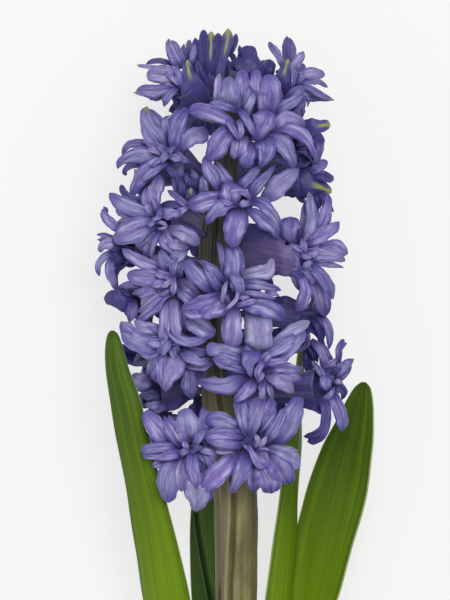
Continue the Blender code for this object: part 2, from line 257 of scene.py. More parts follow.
# -------------------------------------------------------------------- petals
def cubic(a, b, c, d, t):
    t = t[:, None]
    return (
        (1 - t) ** 3 * a
        + 3 * (1 - t) ** 2 * t * b
        + 3 * (1 - t) * t**2 * c
        + t**3 * d
    )


def by_length(points, share):
    """The points of a path at the given shares of its length."""
    step = np.linalg.norm(np.diff(points, axis=0), axis=1)
    at = np.concatenate([[0.0], np.cumsum(step)])
    at /= at[-1]
    return np.stack([np.interp(share, at, points[:, k]) for k in range(3)], 1)


def petal(
    shape,
    ends,
    width,
    face,
    rng,
    cup=(0.35, -0.25),
    roll=0.0,
    twist=None,
    neck=0.78,
    widest=0.42,
    blunt=0.8,
    fold=None,
    lobe=None,
    curl=None,
    ruffle=0.3,
    thick=0.5,
    steps=(19, 13),
    tooth=0.0,
    floor=0.25,
    **same,
):
    """One petal: a thin closed sheet along a cubic, curved across its width.

    ends holds the four control points, base first. face is the way its inner
    side looks. cup is half the angle that a section bends through, at the base
    and at the tip, above nothing where the edges rise towards face. fold is
    how deep the trough along the midrib is, lobe how full each half is, and
    curl how far each margin turns up."""
    chance = rng.uniform(0, 1, 12)
    if fold is None:
        fold = 0.10 + 0.26 * chance[0]
    if lobe is None:
        lobe = 0.07 + 0.10 * chance[1]
    if curl is None:
        curl = (-0.30 + 0.65 * chance[2], -0.30 + 0.65 * chance[3])
    if twist is None:
        twist = -16 + 32 * chance[4]
    ns, nt = steps
    x = np.linspace(0, 1, ns)
    s = 0.62 * x + 0.38 * np.sin(0.5 * math.pi * x)
    path = cubic(*[np.asarray(p, float) for p in ends], np.linspace(0, 1, 60))
    middle = by_length(path, s)
    ahead = by_length(path, np.clip(s + 0.02, 0, 1))
    behind = by_length(path, np.clip(s - 0.02, 0, 1))
    tangent = ahead - behind
    tangent /= np.linalg.norm(tangent, axis=1)[:, None] + 1e-12
    length = np.linalg.norm(np.diff(path, axis=0), axis=1).sum()
    chord = unit(ends[3] - ends[0])
    side = unit(np.cross(chord, face))
    lifted = np.cross(side, chord)
    turn = np.radians(roll + twist * (s - 0.4))
    wide = np.cos(turn)[:, None] * side - np.sin(turn)[:, None] * lifted
    wide -= (wide * tangent).sum(1)[:, None] * tangent
    wide /= np.linalg.norm(wide, axis=1)[:, None] + 1e-12
    normal = np.cross(wide, tangent)

    rise = smooth(s / widest)
    fall = np.clip((s - widest) / (1 - widest), 0, 1)
    half = 0.5 * width * (neck + (1 - neck) * rise) * (1 - fall**2.1) ** blunt
    half = np.maximum(half, 0.14)
    bend = cup[0] + (cup[1] - cup[0]) * smooth((s - 0.1) / 0.85)
    t = np.linspace(-1, 1, nt)
    angle = bend[:, None] * t[None, :]
    spread = np.where(
        np.abs(bend) < 1.35,
        bend / np.sin(np.where(np.abs(bend) < 1e-3, 1e-3, bend)),
        np.abs(bend),
    )
    spread = np.where(np.abs(bend) < 1e-3, 1.0, spread)
    arc = (half * spread)[:, None]
    small = np.abs(bend)[:, None] < 1e-3
    safe = np.where(small, 1.0, bend[:, None])
    lateral = np.where(small, arc * t, arc * np.sin(angle) / safe)
    out = np.where(small, 0.0, arc * (1 - np.cos(angle)) / safe)

    h = half[:, None]
    root = (0.35 + 0.65 * smooth(s / 0.25))[:, None]
    env = root * (1 - 0.55 * smooth((s - 0.75) / 0.25))[:, None]
    off = np.abs(t)
    out = out + fold * h * (np.sqrt(t * t + 0.012) - 0.11) * env
    out = out + lobe * h * (np.sin(math.pi * off) - 0.9 * np.exp(-((t / 0.12) ** 2))) * env
    out = out + 0.025 * h * np.cos(5.3 * math.pi * t + 6.28 * chance[5]) * env
    waves = 0.7 + length / 9.0
    for sign, up, k in ((1, curl[0], 6), (-1, curl[1], 7)):
        edge = np.clip((sign * t - 0.45) / 0.55, 0, 1) ** 1.7
        out = out + up * h * edge * root * (0.6 + 0.4 * np.sin(5 * s + 6.28 * chance[k]))[:, None]
        out = out + ruffle * edge * smooth(s / 0.3)[:, None] * np.sin(
            2 * math.pi * waves * s + 6.28 * chance[k]
        )[:, None] * np.minimum(1.0, h / 1.6)
    # The very tip is a small hood.
    out = out + 0.35 * (smooth((s - 0.86) / 0.14) ** 2)[:, None] * np.minimum(1.0, 0.4 * width / 2)
    if tooth:
        jag = tooth * smooth((s - 0.78) / 0.2)[:, None] * np.sin(18.0 * t + 6.28 * chance[8])
        lateral = lateral + 0.4 * jag
        out = out + 0.7 * jag
    # A slow wander, so that no two petals are the same.
    sway = 0.035 * length * np.sin(math.pi * s) * np.sin(2.1 * math.pi * s + 6.28 * chance[9])
    lateral = lateral + 0.05 * h * np.sin(2 * math.pi * (1.3 * s[:, None] + chance[10]))
    grid = (
        middle[:, None, :]
        + (lateral + sway[:, None])[:, :, None] * wide[:, None, :]
        + out[:, :, None] * normal[:, None, :]
    )
    if tooth:
        grid = grid + (
            tangent[:, None, :]
            * (
                tooth
                * smooth((s - 0.85) / 0.15)[:, None]
                * np.sin(14.0 * t + 6.28 * chance[8])
            )[:, :, None]
        )
    along = np.gradient(grid, axis=0)
    across = np.gradient(grid, axis=1)
    facing = np.cross(across, along)
    size = np.linalg.norm(facing, axis=2)[:, :, None]
    facing = np.where(size > 1e-9, facing / (size + 1e-12), normal[:, None, :])
    body = 0.5 * thick * (1.0 - 0.3 * s)[:, None] * (0.28 + 0.72 * (1 - off**3))
    body = body * (0.45 + 0.55 * np.minimum(1, half / 1.0))[:, None]
    top = grid + facing * body[:, :, None]
    bottom = grid - facing * body[:, :, None]
    if floor is not None:
        for points, least in ((top, floor + 0.12), (bottom, floor)):
            low = points[:, :, 2] - least
            points[:, :, 2] = least + np.where(
                low > 3, low, 0.4 * np.log1p(np.exp(np.clip(low / 0.4, -30, 30)))
            )
    numbers = {"tone": rng.uniform(0, 1), "green": 0.0, "tube": 0.0, "pale": 0.0}
    numbers.update(same)
    shape.sheet(
        top,
        bottom,
        np.broadcast_to(s[:, None], (ns, nt)),
        np.broadcast_to(t[None, :], (ns, nt)),
        **numbers,
    )


def run(keys, values, at):
    """Values at keys, joined by a smooth curve through all of them."""
    keys, values = np.asarray(keys, float), np.asarray(values, float)
    if len(keys) == 1:
        return np.full(len(at), values[0])
    h = np.diff(keys)
    slope = np.diff(values) / h
    m = np.empty(len(keys))
    m[0], m[-1] = slope[0], slope[-1]
    if len(keys) > 2:
        m[1:-1] = (slope[:-1] * h[1:] + slope[1:] * h[:-1]) / (h[:-1] + h[1:])
        m[0] = 1.5 * slope[0] - 0.5 * m[1]
        m[-1] = 1.5 * slope[-1] - 0.5 * m[-2]
    i = np.clip(np.searchsorted(keys, at) - 1, 0, len(h) - 1)
    t = (np.clip(at, keys[0], keys[-1]) - keys[i]) / h[i]
    return (
        (2 * t**3 - 3 * t**2 + 1) * values[i]
        + (t**3 - 2 * t**2 + t) * h[i] * m[i]
        + (-2 * t**3 + 3 * t**2) * values[i + 1]
        + (t**3 - t**2) * h[i] * m[i + 1]
    )


def traced(
    shape,
    stations,
    z,
    lift,
    rng,
    rise=None,
    lobe=None,
    curl=None,
    blunt=0.78,
    thick=0.45,
    back=False,
    ruffle=0.48,
    floor=0.25,
    tooth=0.0,
    **same,
):
    """A petal laid out from above: stations of plan point, half width to the left and to the right of the fold line, base first, and the tip last.

    z is heights along it, rise how steeply each side climbs from the fold line
    and curl how far each margin turns up past that. lift(point) is the height
    that the heights count from."""
    chance = rng.uniform(0, 1, 12)
    if rise is None:
        rise = (0.10 + 0.62 * chance[0], 0.10 + 0.62 * chance[1])
    if lobe is None:
        lobe = 0.13 + 0.12 * chance[2]
    if curl is None:
        curl = (-0.55 + 1.15 * chance[3], -0.55 + 1.15 * chance[4])
    x = np.array([row[0] for row in stations], float)
    y = np.array([row[1] for row in stations], float)
    keys = np.concatenate([[0.0], np.cumsum(np.hypot(np.diff(x), np.diff(y)))])
    length = keys[-1] * UNIT
    keys = keys / keys[-1]
    ns = int(np.clip(9 + length * 0.9, 13, 25))
    widest = max(row[2] + row[3] for row in stations[:-1]) * UNIT
    nt = int(np.clip(7 + 2 * round(widest * 0.55), 9, 15))
    k = np.linspace(0, 1, ns)
    s = 0.62 * k + 0.38 * np.sin(0.5 * math.pi * k)
    u, v = run(keys, x, s), run(keys, y, s)
    last = keys[-2]
    cut = np.minimum(s, last)
    close = np.clip((s - last) / (1 - last), 0, 1)
    ogive = np.maximum((1 - close**1.9) ** (blunt + 0.10), 0.03)
    left = np.maximum(run(keys[:-1], [row[2] for row in stations[:-1]], cut), 0.3) * ogive
    right = np.maximum(run(keys[:-1], [row[3] for row in stations[:-1]], cut), 0.3) * ogive
    # No margin is quite even.
    sway = np.sin(2 * math.pi * (1.15 * s + chance[9])) + 0.6 * np.sin(2 * math.pi * (2.6 * s + chance[10]))
    left = left * (1 + 0.055 * sway)
    sway = np.sin(2 * math.pi * (1.3 * s + chance[10])) + 0.6 * np.sin(2 * math.pi * (2.9 * s + chance[11]))
    right = right * (1 + 0.055 * sway)
    at = keys if len(z) == len(keys) else np.linspace(0, 1, len(z))
    height = run(at, z, s)
    middle = np.stack(
        [MIDDLE[0] + (u - PLAN_U) * UNIT, MIDDLE[1] + (PLAN_V - v) * UNIT, height], 1
    )
    middle[:, 2] += [lift(point) for point in middle]
    du, dv = np.gradient(u), np.gradient(v)
    size = np.hypot(du, dv) + 1e-9
    aside = np.stack([dv / size, du / size], 1)
    t = np.linspace(-1, 1, nt)
    off = np.abs(t)
    far = np.where(t[None, :] < 0, -left[:, None], right[:, None]) * UNIT * off[None, :]
    wide = np.where(t[None, :] < 0, left[:, None], right[:, None]) * UNIT
    env = (0.55 + 0.45 * smooth(s / 0.3)) * (1 - 0.5 * smooth((s - 0.8) / 0.2))
    slope = np.where(t < 0, rise[0], rise[1])
    turn = np.where(t < 0, curl[0], curl[1])
    up = slope[None, :] * wide * (np.sqrt(t * t + 0.01) - 0.1)[None, :]
    up = up + lobe * wide * (np.sin(math.pi * off) - 0.8 * np.exp(-((t / 0.13) ** 2)))[None, :]
    edge = np.clip((off - 0.5) / 0.5, 0, 1) ** 1.8
    up = up + turn[None, :] * wide * edge[None, :] * (
        0.65 + 0.35 * np.sin(5 * s + 6.28 * chance[5])
    )[:, None]
    up = up + 0.02 * wide * np.cos(6.1 * math.pi * t + 6.28 * chance[6])[None, :]
    waves = 0.7 + length / 8.0
    for sign, c in ((1, 7), (-1, 8)):
        side = np.clip((sign * t - 0.4) / 0.6, 0, 1) ** 1.7
        up = up + ruffle * side[None, :] * (
            smooth(s / 0.3) * np.sin(2 * math.pi * waves * s + 6.28 * chance[c])
        )[:, None] * np.minimum(1.0, wide / 1.5)
    # Shallow dents and swells, as in any thin fleshy petal.
    swell = 0.18 * np.minimum(1.0, wide / 2.2) * np.sin(
        2 * math.pi * (1.7 + chance[10]) * s[:, None] + 2.3 * t[None, :] + 6.28 * chance[11]
    )
    swell += 0.12 * np.minimum(1.0, wide / 2.2) * np.sin(
        2 * math.pi * (3.1 + chance[9]) * s[:, None] - 3.4 * t[None, :] + 6.28 * chance[8]
    )
    up = (up + swell) * env[:, None]
    grid = np.empty((ns, nt, 3))
    grid[:, :, 0] = middle[:, None, 0] - far * aside[:, None, 0]
    grid[:, :, 1] = middle[:, None, 1] - far * aside[:, None, 1]
    # A shade of waviness in the outline.
    wobble = (
        0.045 * np.sin(2 * math.pi * (2.1 * s[:, None] + chance[9]) + np.sign(t)[None, :])
        + 0.03 * np.sin(2 * math.pi * (5.3 * s[:, None] + chance[7]) + 2 * np.sign(t)[None, :])
    ) * wide * np.sign(t)[None, :] * off[None, :] ** 2
    grid[:, :, 0] += wobble * aside[:, None, 0]
    grid[:, :, 1] += wobble * aside[:, None, 1]
    grid[:, :, 2] = middle[:, None, 2] + up
    if tooth:
        jag = tooth * smooth((s - 0.72) / 0.28)[:, None] * (
            np.sin(9.0 * t + 6.28 * chance[10]) + 0.6 * np.sin(17.0 * t + 6.28 * chance[11])
        )[None, :]
        grid[:, :, 0] += 0.8 * jag * (du / size)[:, None]
        grid[:, :, 1] -= 0.8 * jag * (dv / size)[:, None]
        grid[:, :, 2] += 0.4 * jag
    along = np.gradient(grid, axis=0)
    across = np.gradient(grid, axis=1)
    facing = np.cross(across, along)
    length_of = np.linalg.norm(facing, axis=2)[:, :, None]
    facing = np.where(length_of > 1e-9, facing / (length_of + 1e-12), UP)
    body = 0.5 * thick * (1.0 - 0.3 * s)[:, None] * (0.28 + 0.72 * (1 - off**3))
    body = body * (0.45 + 0.55 * np.minimum(1, 0.5 * (left + right) * UNIT))[:, None]
    top = grid + facing * body[:, :, None]
    bottom = grid - facing * body[:, :, None]
    for points, least in ((top, floor + 0.12), (bottom, floor)):
        low = points[:, :, 2] - least
        points[:, :, 2] = least + np.where(
            low > 3, low, 0.4 * np.log1p(np.exp(np.clip(low / 0.4, -30, 30)))
        )
    numbers = {"tone": rng.uniform(0, 1), "green": 0.0, "tube": 0.0, "pale": 0.0, "flip": back}
    numbers.update(same)
    shape.sheet(
        top,
        bottom,
        np.broadcast_to(s[:, None], (ns, nt)),
        np.broadcast_to(t[None, :], (ns, nt)),
        **numbers,
    )


def tube(shape, start, mouth, facing, rng, girth=1.0, flare=4.5, red=0.0):
    """The pedicel, ovary and tube of a floret, open at the throat."""
    facing = unit(facing)
    end = mouth - facing * 3.6
    length = np.linalg.norm(end - start)
    pull = end - facing * min(0.45 * length, 9.0)
    path = cubic(
        start,
        start + (pull - start) * 0.66,
        end + (pull - end) * 0.66,
        end,
        np.linspace(0, 1, 60),
    )
    s = np.array(
        [0, 0.08, 0.18, 0.26, 0.33, 0.4, 0.47, 0.55, 0.64, 0.73, 0.82, 0.9, 0.96, 1.0]
    )
    radius = np.interp(
        s,
        [0, 0.18, 0.26, 0.36, 0.46, 0.6, 0.78, 1.0],
        [1.25, 1.05, 1.7, 2.35, 2.2, 2.9, 3.7, flare],
    )
    radius = 1.0 + (radius - 1.0) * girth
    middle = by_length(path, s)
    tangent = np.gradient(by_length(path, np.linspace(0, 1, 60)), axis=0)
    tangent = np.stack(
        [np.interp(s, np.linspace(0, 1, 60), tangent[:, k]) for k in range(3)], 1
    )
    tangent /= np.linalg.norm(tangent, axis=1)[:, None]
    side = unit(np.cross(tangent[0], UP) + 1e-6)
    sides, k = [], 24
    for step in tangent:
        side = unit(side - (side @ step) * step)
        sides.append(side)
    sides = np.array(sides)
    ups = np.cross(sides, tangent)
    a = np.linspace(0, 2 * math.pi, k, endpoint=False)
    phase = rng.uniform(0, 6.28)
    rib = 1.0 + 0.05 * np.cos(6 * a + phase)[None, :] * smooth((s - 0.4) / 0.3)[:, None]

    def ring(i, r, back=0.0):
        return (
            middle[i]
            - tangent[i] * back
            + (r * np.cos(a))[:, None] * sides[i]
            + (r * np.sin(a))[:, None] * ups[i]
        )

    rings = [ring(i, radius[i] * rib[i]) for i in range(len(s))]
    along = list(s)
    # Back down inside the throat.
    for back, share in ((0.05, 0.9), (1.2, 0.78), (3.0, 0.66), (5.0, 0.5), (6.0, 0.2)):
        rings.append(ring(-1, radius[-1] * share * rib[-1], back))
        along.append(1.2)
    rings = np.array(rings)
    rings[:, :, 2] = np.maximum(rings[:, :, 2], 0.3)
    along = np.array(along)[:, None] * np.ones((1, k))
    across = np.broadcast_to(np.cos(a)[None, :], along.shape)
    shape.rings(
        rings[:, ::-1],
        along,
        across[:, ::-1],
        tube=1.0,
        tone=rng.uniform(0, 1),
        pale=red,
    )


# ------------------------------------------------------- florets that show
# Each petal: tip u, v, width, base u, v, how near the front of the floret it
# grows (0 at the back), and what sets it apart.
def p(tu, tv, w, bu, bv, lev, **more):
    return (tu, tv, w, bu, bv, lev, more)


def q(*stations, z=(-4.0, -0.5, -4.0), **more):
    return (stations, z, more)


# In the rows below, a deep value is painted shade: it darkens a petal that lies in a hollow, and rows with a large deep
# value are dark sheets laid where the spike is only in shade.
FLORETS = {}


# A floret may be given a shade value after its rows: painted shade over all its petals, for florets that lie back in
# the spike or turn away from the light.
def floret(name, mouth, height, attach, facing, rows, reach=14.0, fill=True, **more):
    FLORETS[name] = dict(
        mouth=mouth,
        height=height,
        attach=attach,
        facing=facing,
        rows=rows,
        reach=reach,
        fill=fill,
        **more,
    )


floret(
    "floret_front_1", (251, 127), 55.0, 146, (0.12, 0.08, 1.0),
    [
        q((219, 108, 5, 4), (218, 95, 4.5, 4), (218, 84, 3.5, 3.5), (220, 74.5), z=(-4.5, -1.5, -4), pale=0.7, green=0.5, blunt=0.8),
        q((231, 112, 9, 7), (229, 100, 8.5, 8), (228.5, 90, 8, 7), (229, 83, 5.5, 5), (229.5, 78), z=(-4.2, 0.5, -2.5), pale=0.4, blunt=0.5),
        q((244, 114, 7, 7), (243, 95, 8, 8), (242, 83, 8, 7), (242, 76, 5, 5), (242, 71), z=(-4.5, -1.2, -3.5)),
        q((254, 114, 6, 6), (255, 95, 6.5, 7), (256, 82, 6.5, 6), (256, 75, 5, 5), (256, 70.5), z=(-4.5, -1.8, -4.5)),
        q((266, 118, 7, 7), (270, 103, 9.5, 11), (270, 93, 10, 12), (268, 84, 8, 9), (265, 76.5), z=(-4.3, 0, -2.5), violet=1.0, blunt=0.5),
        q((246.5, 118, 4, 3.5), (249, 108, 4, 4), (252, 100, 3.5, 3.5), (253.5, 95), z=(-2, 2.2, 1.5), pale=0.7),
        q((241, 111, 2, 2), (247, 95, 2.5, 3), (249, 86.5), z=(-3, 1.6, 0.6), curl=(0.6, 0.2)),
        q((254, 112, 4, 4), (252, 98, 4, 4), (250, 87), z=(-3.5, 0.2, -1), deep=0.8),
        q((263, 117, 5, 5), (262.5, 106, 5, 5), (262, 99, 4.5, 5), (262, 94), z=(-2, 2.4, 2.2), rise=(0.7, 0.7), curl=(0.3, 0.3), blunt=0.5),
        q((255, 142, 4, 4), (260, 131, 8, 9), (264, 122, 11, 11), (266, 116, 9, 9), (267, 112), z=(-1.5, 3.4, 2.6), rise=(0.2, 0.2), lobe=0.25, deep=0.35, blunt=0.45),
        q((239, 112, 3, 3), (245, 119, 4, 4), (250, 129, 4, 3.5), (254, 138), z=(1.2, 3.6, 2.0), rise=(0.6, 0.3)),
        q((224.5, 119, 2, 2), (231, 128, 3, 3), (236, 136, 2.5, 2.5), (240, 142), z=(0.4, 3.0, 1.5), rise=(0.7, 0.2)),
        q((238, 122, 3, 3), (241, 131, 3, 3), (240, 141), z=(0.5, 3.3, 1.6), pale=0.5),
        q((237, 134, 3, 4), (227, 123, 5, 5.5), (216, 117, 7, 7), (204, 113, 8, 8), (196, 112, 6.5, 7), (190.5, 115), z=(-3.0, 1.4, 0, -3.5), rise=(0.15, 0.5), curl=(-0.5, 0.3)),
        q((236, 113, 2, 3), (226, 109, 4, 5), (217, 106.5, 4.5, 5), (207, 108.5), z=(-1.5, 2.3, 0.3)),
        q((235, 129, 5, 6), (225, 139, 9, 12), (217, 150, 9.5, 11), (212, 157, 6.5, 7), (209, 162), z=(-4, 0.6, -0.5, -3.5), violet=0.8, blunt=0.5),
        q((237, 137, 3, 3), (235, 148, 4, 4), (234, 156, 3.5, 3.5), (234, 160.5), z=(-3, 1.2, -1)),
        q((246, 137, 3, 3), (243, 147, 5, 5), (241, 155, 5, 4.5), (240, 161), z=(-3.5, 0.4, -2), pale=0.4),
        q((252, 143, 4, 4), (250, 152, 7, 6.5), (247, 161, 8, 8), (244, 169.5), z=(-4, -0.2, -3), violet=0.8, blunt=0.5),
        q((261, 138, 7, 7), (265, 148, 12, 9.5), (264, 156, 9, 7.5), (262, 163, 4.5, 4), (260, 169), z=(-4, 0.7, -0.6, -3), violet=0.7),
        q((263, 137, 2, 2), (272, 138.5, 4, 2.5), (281, 143, 8, 8), (288, 152, 6.5, 9), (292, 161, 4.5, 5), (293, 169.5), z=(-3.5, 1.3, 0, -4), rise=(0.3, 0.45)),
        q((270, 134, 2, 2), (277, 124, 5, 6), (286, 118.5, 6, 7), (296, 120, 5, 6), (304.5, 127), z=(-3, 1.4, 0.2, -3), pale=0.4),
        q((271, 137, 2, 2), (281, 130, 5, 5), (292, 130, 6, 8), (303, 137, 6, 7), (310, 147, 3.5, 3.5), (314.5, 160), z=(-3.5, 0.8, -1, -6)),
        q((273, 118, 3, 4), (283, 108, 5.5, 6.5), (293, 101.5, 4.5, 5.5), (303, 94.5), z=(-3.5, -0.3, -3)),
        q((280, 120, 4, 5), (292, 110, 6, 7), (306, 97), z=(-5, -3, -6), deep=1.0),
        q((266, 142, 6, 6), (276, 150, 9, 9), (286, 160, 7, 8), (292, 168), z=(-7, -5, -8), deep=1.0),
    ],
    dim=0.08,
)
floret(
    "floret_front_2", (240, 204), 54.5, 212, (0.12, 0.0, 1.0),
    [
        q((261, 204, 4, 4), (270, 195, 8, 8), (279, 186, 10.5, 10), (289, 177, 8, 7.5), (298.5, 170), z=(-5, -1.5, -2.5, -7), pale=0.45, rise=(0.2, 0.3)),
        q((248, 200, 4, 5), (255, 190, 6.5, 6), (263, 180, 5, 4.5), (270, 172, 3, 2.5), (275, 166), z=(-3.5, 1.2, 0, -4), rise=(0.25, 0.75)),
        q((238, 194, 5, 4), (245, 184, 6, 5), (253, 175, 5, 4), (261.5, 166.5), z=(-4, 0.4, -1, -5)),
        q((233, 191, 5, 4), (227, 180, 6, 5), (221, 171, 4, 4), (216, 162.5), z=(-4, 0.6, -1, -4.5)),
        q((222, 194, 4, 4), (216, 183, 6, 7), (210, 172, 6.5, 7), (206, 163, 4.5, 5), (205, 156.5), z=(-5, -1.5, -2.5, -5.5)),
        q((205, 196, 5, 5), (204, 186, 4.8, 4.2), (203, 175.5), z=(-5, -3, -5), red=0.7),
        q((232, 205, 6, 6), (231, 196, 10, 10), (231, 189, 10, 10), (232, 183.5), z=(0.5, 2.6, 0.5), lobe=0.3, rise=(0.1, 0.1), blunt=0.5),
        q((229, 202, 2, 2), (232, 194, 3, 3), (239, 192, 3, 3), (246, 195, 3, 3), (250.5, 201), z=(1.5, 3.2, 3.2, 1.2), curl=(0.4, 0.3)),
        q((250, 203, 3, 3), (244, 204.5, 4, 4), (238, 205), z=(1.0, 2.4, 0.8)),
        q((228, 200, 5, 5), (213, 200, 8, 8.5), (203, 203, 9, 9), (195, 206, 7, 7.5), (189.5, 208.5), z=(-4, 0, -1, -4.5), blunt=0.5),
        q((239, 205, 2, 2), (228, 206, 4.5, 7), (218, 211, 7, 8), (211, 218, 4.5, 5), (207, 225), z=(-2, 1.6, 0.5, -2.5), rise=(0.5, 0.2)),
        q((238, 208, 9, 9), (236.5, 220, 11.5, 11.5), (234.5, 231, 11, 11), (233, 240, 8, 8), (232, 248), z=(-4, 1, 0.5, -2), violet=1.0, blunt=0.6, rise=(0.15, 0.15)),
        q((249, 203, 3, 3), (259, 205, 8, 4), (268, 211, 6, 6), (276, 220, 4.5, 5), (281, 233), z=(-3, 1.4, 0, -4.5)),
        q((245, 208, 2, 2), (256, 214, 4.5, 7.5), (266, 221.5, 5, 9), (274, 231, 4.5, 5), (277.5, 239.5), z=(-3, 0.8, -0.5, -4.5), rise=(0.6, 0.1)),
        q((222, 196, 3, 3), (226, 203, 3, 3), (234, 204.5), z=(0.5, 2.6, 1.5), rise=(0.2, 0.7)),
    ],
)
floret(
    "floret_front_3", (230, 292), 56.0, 293, (0.03, 0.0, 1.0),
    [
        q((233, 284, 9, 7), (234, 270, 10, 7), (233, 258, 8.5, 8), (232, 250, 7, 7), (232, 244), z=(-4, -1, -4, -7), rise=(0.15, 0.2), pale=0.2),
        q((239, 280, 3, 5), (240, 268, 3, 5), (239, 257, 3, 4.5), (237, 250, 3, 4), (236, 245), z=(-5, -3, -6, -8)),
        q((224, 277, 3, 3), (222, 262, 2.5, 3), (220, 250, 2.5, 3.5), (217, 242), z=(-5, -3.5, -7), deep=0.6),
        q((241, 277, 5, 5), (250, 274.5, 6, 5.5), (260, 272, 7, 8), (267, 269.5, 6, 9), (270.5, 264.5, 4, 4.5), (271, 258), z=(-4, -0.8, -1, -3), pale=0.9, green=0.3, rise=(0.1, 0.15)),
        q((240, 286, 5, 5), (252, 284.5, 5, 5), (262, 286, 5, 4.5), (271, 288, 4, 3.5), (281, 290.5), z=(-3.5, 0.6, -0.5, -3.5)),
        q((238, 293, 1.5, 2.5), (248, 292, 1.5, 4), (258, 293, 1.5, 4), (267, 295.5, 1.5, 3), (276, 299), z=(-1, 2.2, 2, 0), rise=(0.1, -0.3)),
        q((265, 291, 1, 2), (272, 292.5, 2, 3), (279.5, 296.5), z=(-1, 0, -3), red=0.6),
        q((237, 297.5, 2, 2), (244, 297.5, 2, 2), (247.5, 297.5, 2, 2), (250, 297.5), z=(1.5, 3.2, 3.0), blunt=0.5, rise=(-0.3, -0.3)),
        q((237, 304, 2, 4), (247, 303, 3.5, 8), (258, 303.5, 5.5, 11), (269, 308, 9, 11), (277, 314, 7.5, 7.5), (283, 320), z=(-2.5, 0.8, 0.2, -1, -4.5), rise=(0.25, 0.2)),
        q((235, 305.5, 1.5, 2), (243, 303.5, 2.5, 3), (250, 302, 3, 3), (258, 299), z=(0, 2.8, 1.5), rise=(0.3, 0.5)),
        q((257, 310, 11, 11), (257.5, 324, 14.5, 13.5), (258, 334, 15, 15), (258.5, 343, 12.5, 12.5), (258, 350.5), z=(-5, -0.6, -0.6, -3.5), pale=0.85, violet=0.5, blunt=0.5, rise=(0.08, 0.08)),
        q((233, 307, 6, 6), (233, 320, 9, 8.5), (232.5, 332, 9.5, 9), (232, 341, 9, 9), (232, 348), z=(-3.5, 0.8, 0, -2.5), pale=0.35, violet=0.9, blunt=0.5, rise=(0.15, 0.15)),
        q((227, 312, 3, 3), (224.5, 325, 4, 3), (224.5, 336, 4, 3), (227, 344), z=(-4, -1, -3), deep=0.4),
        q((214, 292, 4, 4), (204, 283, 7, 6), (196, 274, 8.5, 7.5), (190, 267, 7.5, 6.5), (185.5, 260.5), z=(-4, 0.6, -0.5, -4), pale=0.2, blunt=0.5),
        q((220, 291, 4, 5), (213, 280, 4.5, 5), (208, 272, 3, 4), (203, 264.5), z=(-3, 1.6, -0.5), rise=(0.5, 0.25)),
        q((224, 282, 2, 3), (216, 274, 3, 3.5), (209, 268.5, 2.5, 3), (202, 263.5), z=(-2.5, 1.8, -0.8), rise=(0.7, 0.2)),
        q((225, 283, 4, 3), (217, 272, 4, 3.5), (208, 265.5, 4, 3), (198, 260.5), z=(-4.5, -1.2, -3.5)),
        q((223, 295, 3, 4), (211, 299, 5, 6), (200, 303, 6, 6.5), (190, 306, 5, 5), (182, 309), z=(-4, 0, -1, -4)),
        q((229, 302, 7, 5), (217, 308, 9, 8), (207, 312.5, 7.5, 8), (199, 317), z=(-3, 1.3, 0.6, -0.5), rise=(0.15, 0.4)),
        q((207, 312, 4, 3), (197, 314, 5, 4), (189, 314, 4, 4), (183.5, 310.5), z=(-1.5, 0, -3.5)),
        q((222, 304, 2, 2), (223, 294, 2, 2.5), (225, 287, 2.2, 2.6), (227, 281), z=(0.5, 3.6, 2.6), pale=0.6, rise=(0.6, 0.3)),
        q((238, 296, 2.5, 4), (237, 285, 3, 4.5), (233, 279, 2.5, 3.5), (229.5, 274.5), z=(0.5, 3.4, 3.0), rise=(0.2, 0.5), pale=0.3),
        q((234, 292, 2, 2), (233, 286, 3, 2.5), (230, 280.5), z=(0.5, 2.6, 1.8), deep=0.8),
        q((238, 290, 1.5, 2), (236, 299, 2, 2), (231, 305, 2, 2), (225, 310), z=(1.5, 3.6, 3.2), pale=0.6, rise=(0.3, 0.6)),
        q((240, 299, 2, 2), (242.5, 290, 3, 2), (240.5, 281, 3, 2.5), (236, 274.5), z=(-0.5, 2.4, 1.5), pale=0.4),
        q((231, 304, 2, 2), (226.5, 297, 2, 2), (224.5, 290), z=(0.0, 2.0, 1.0), deep=0.8),
    ],
)
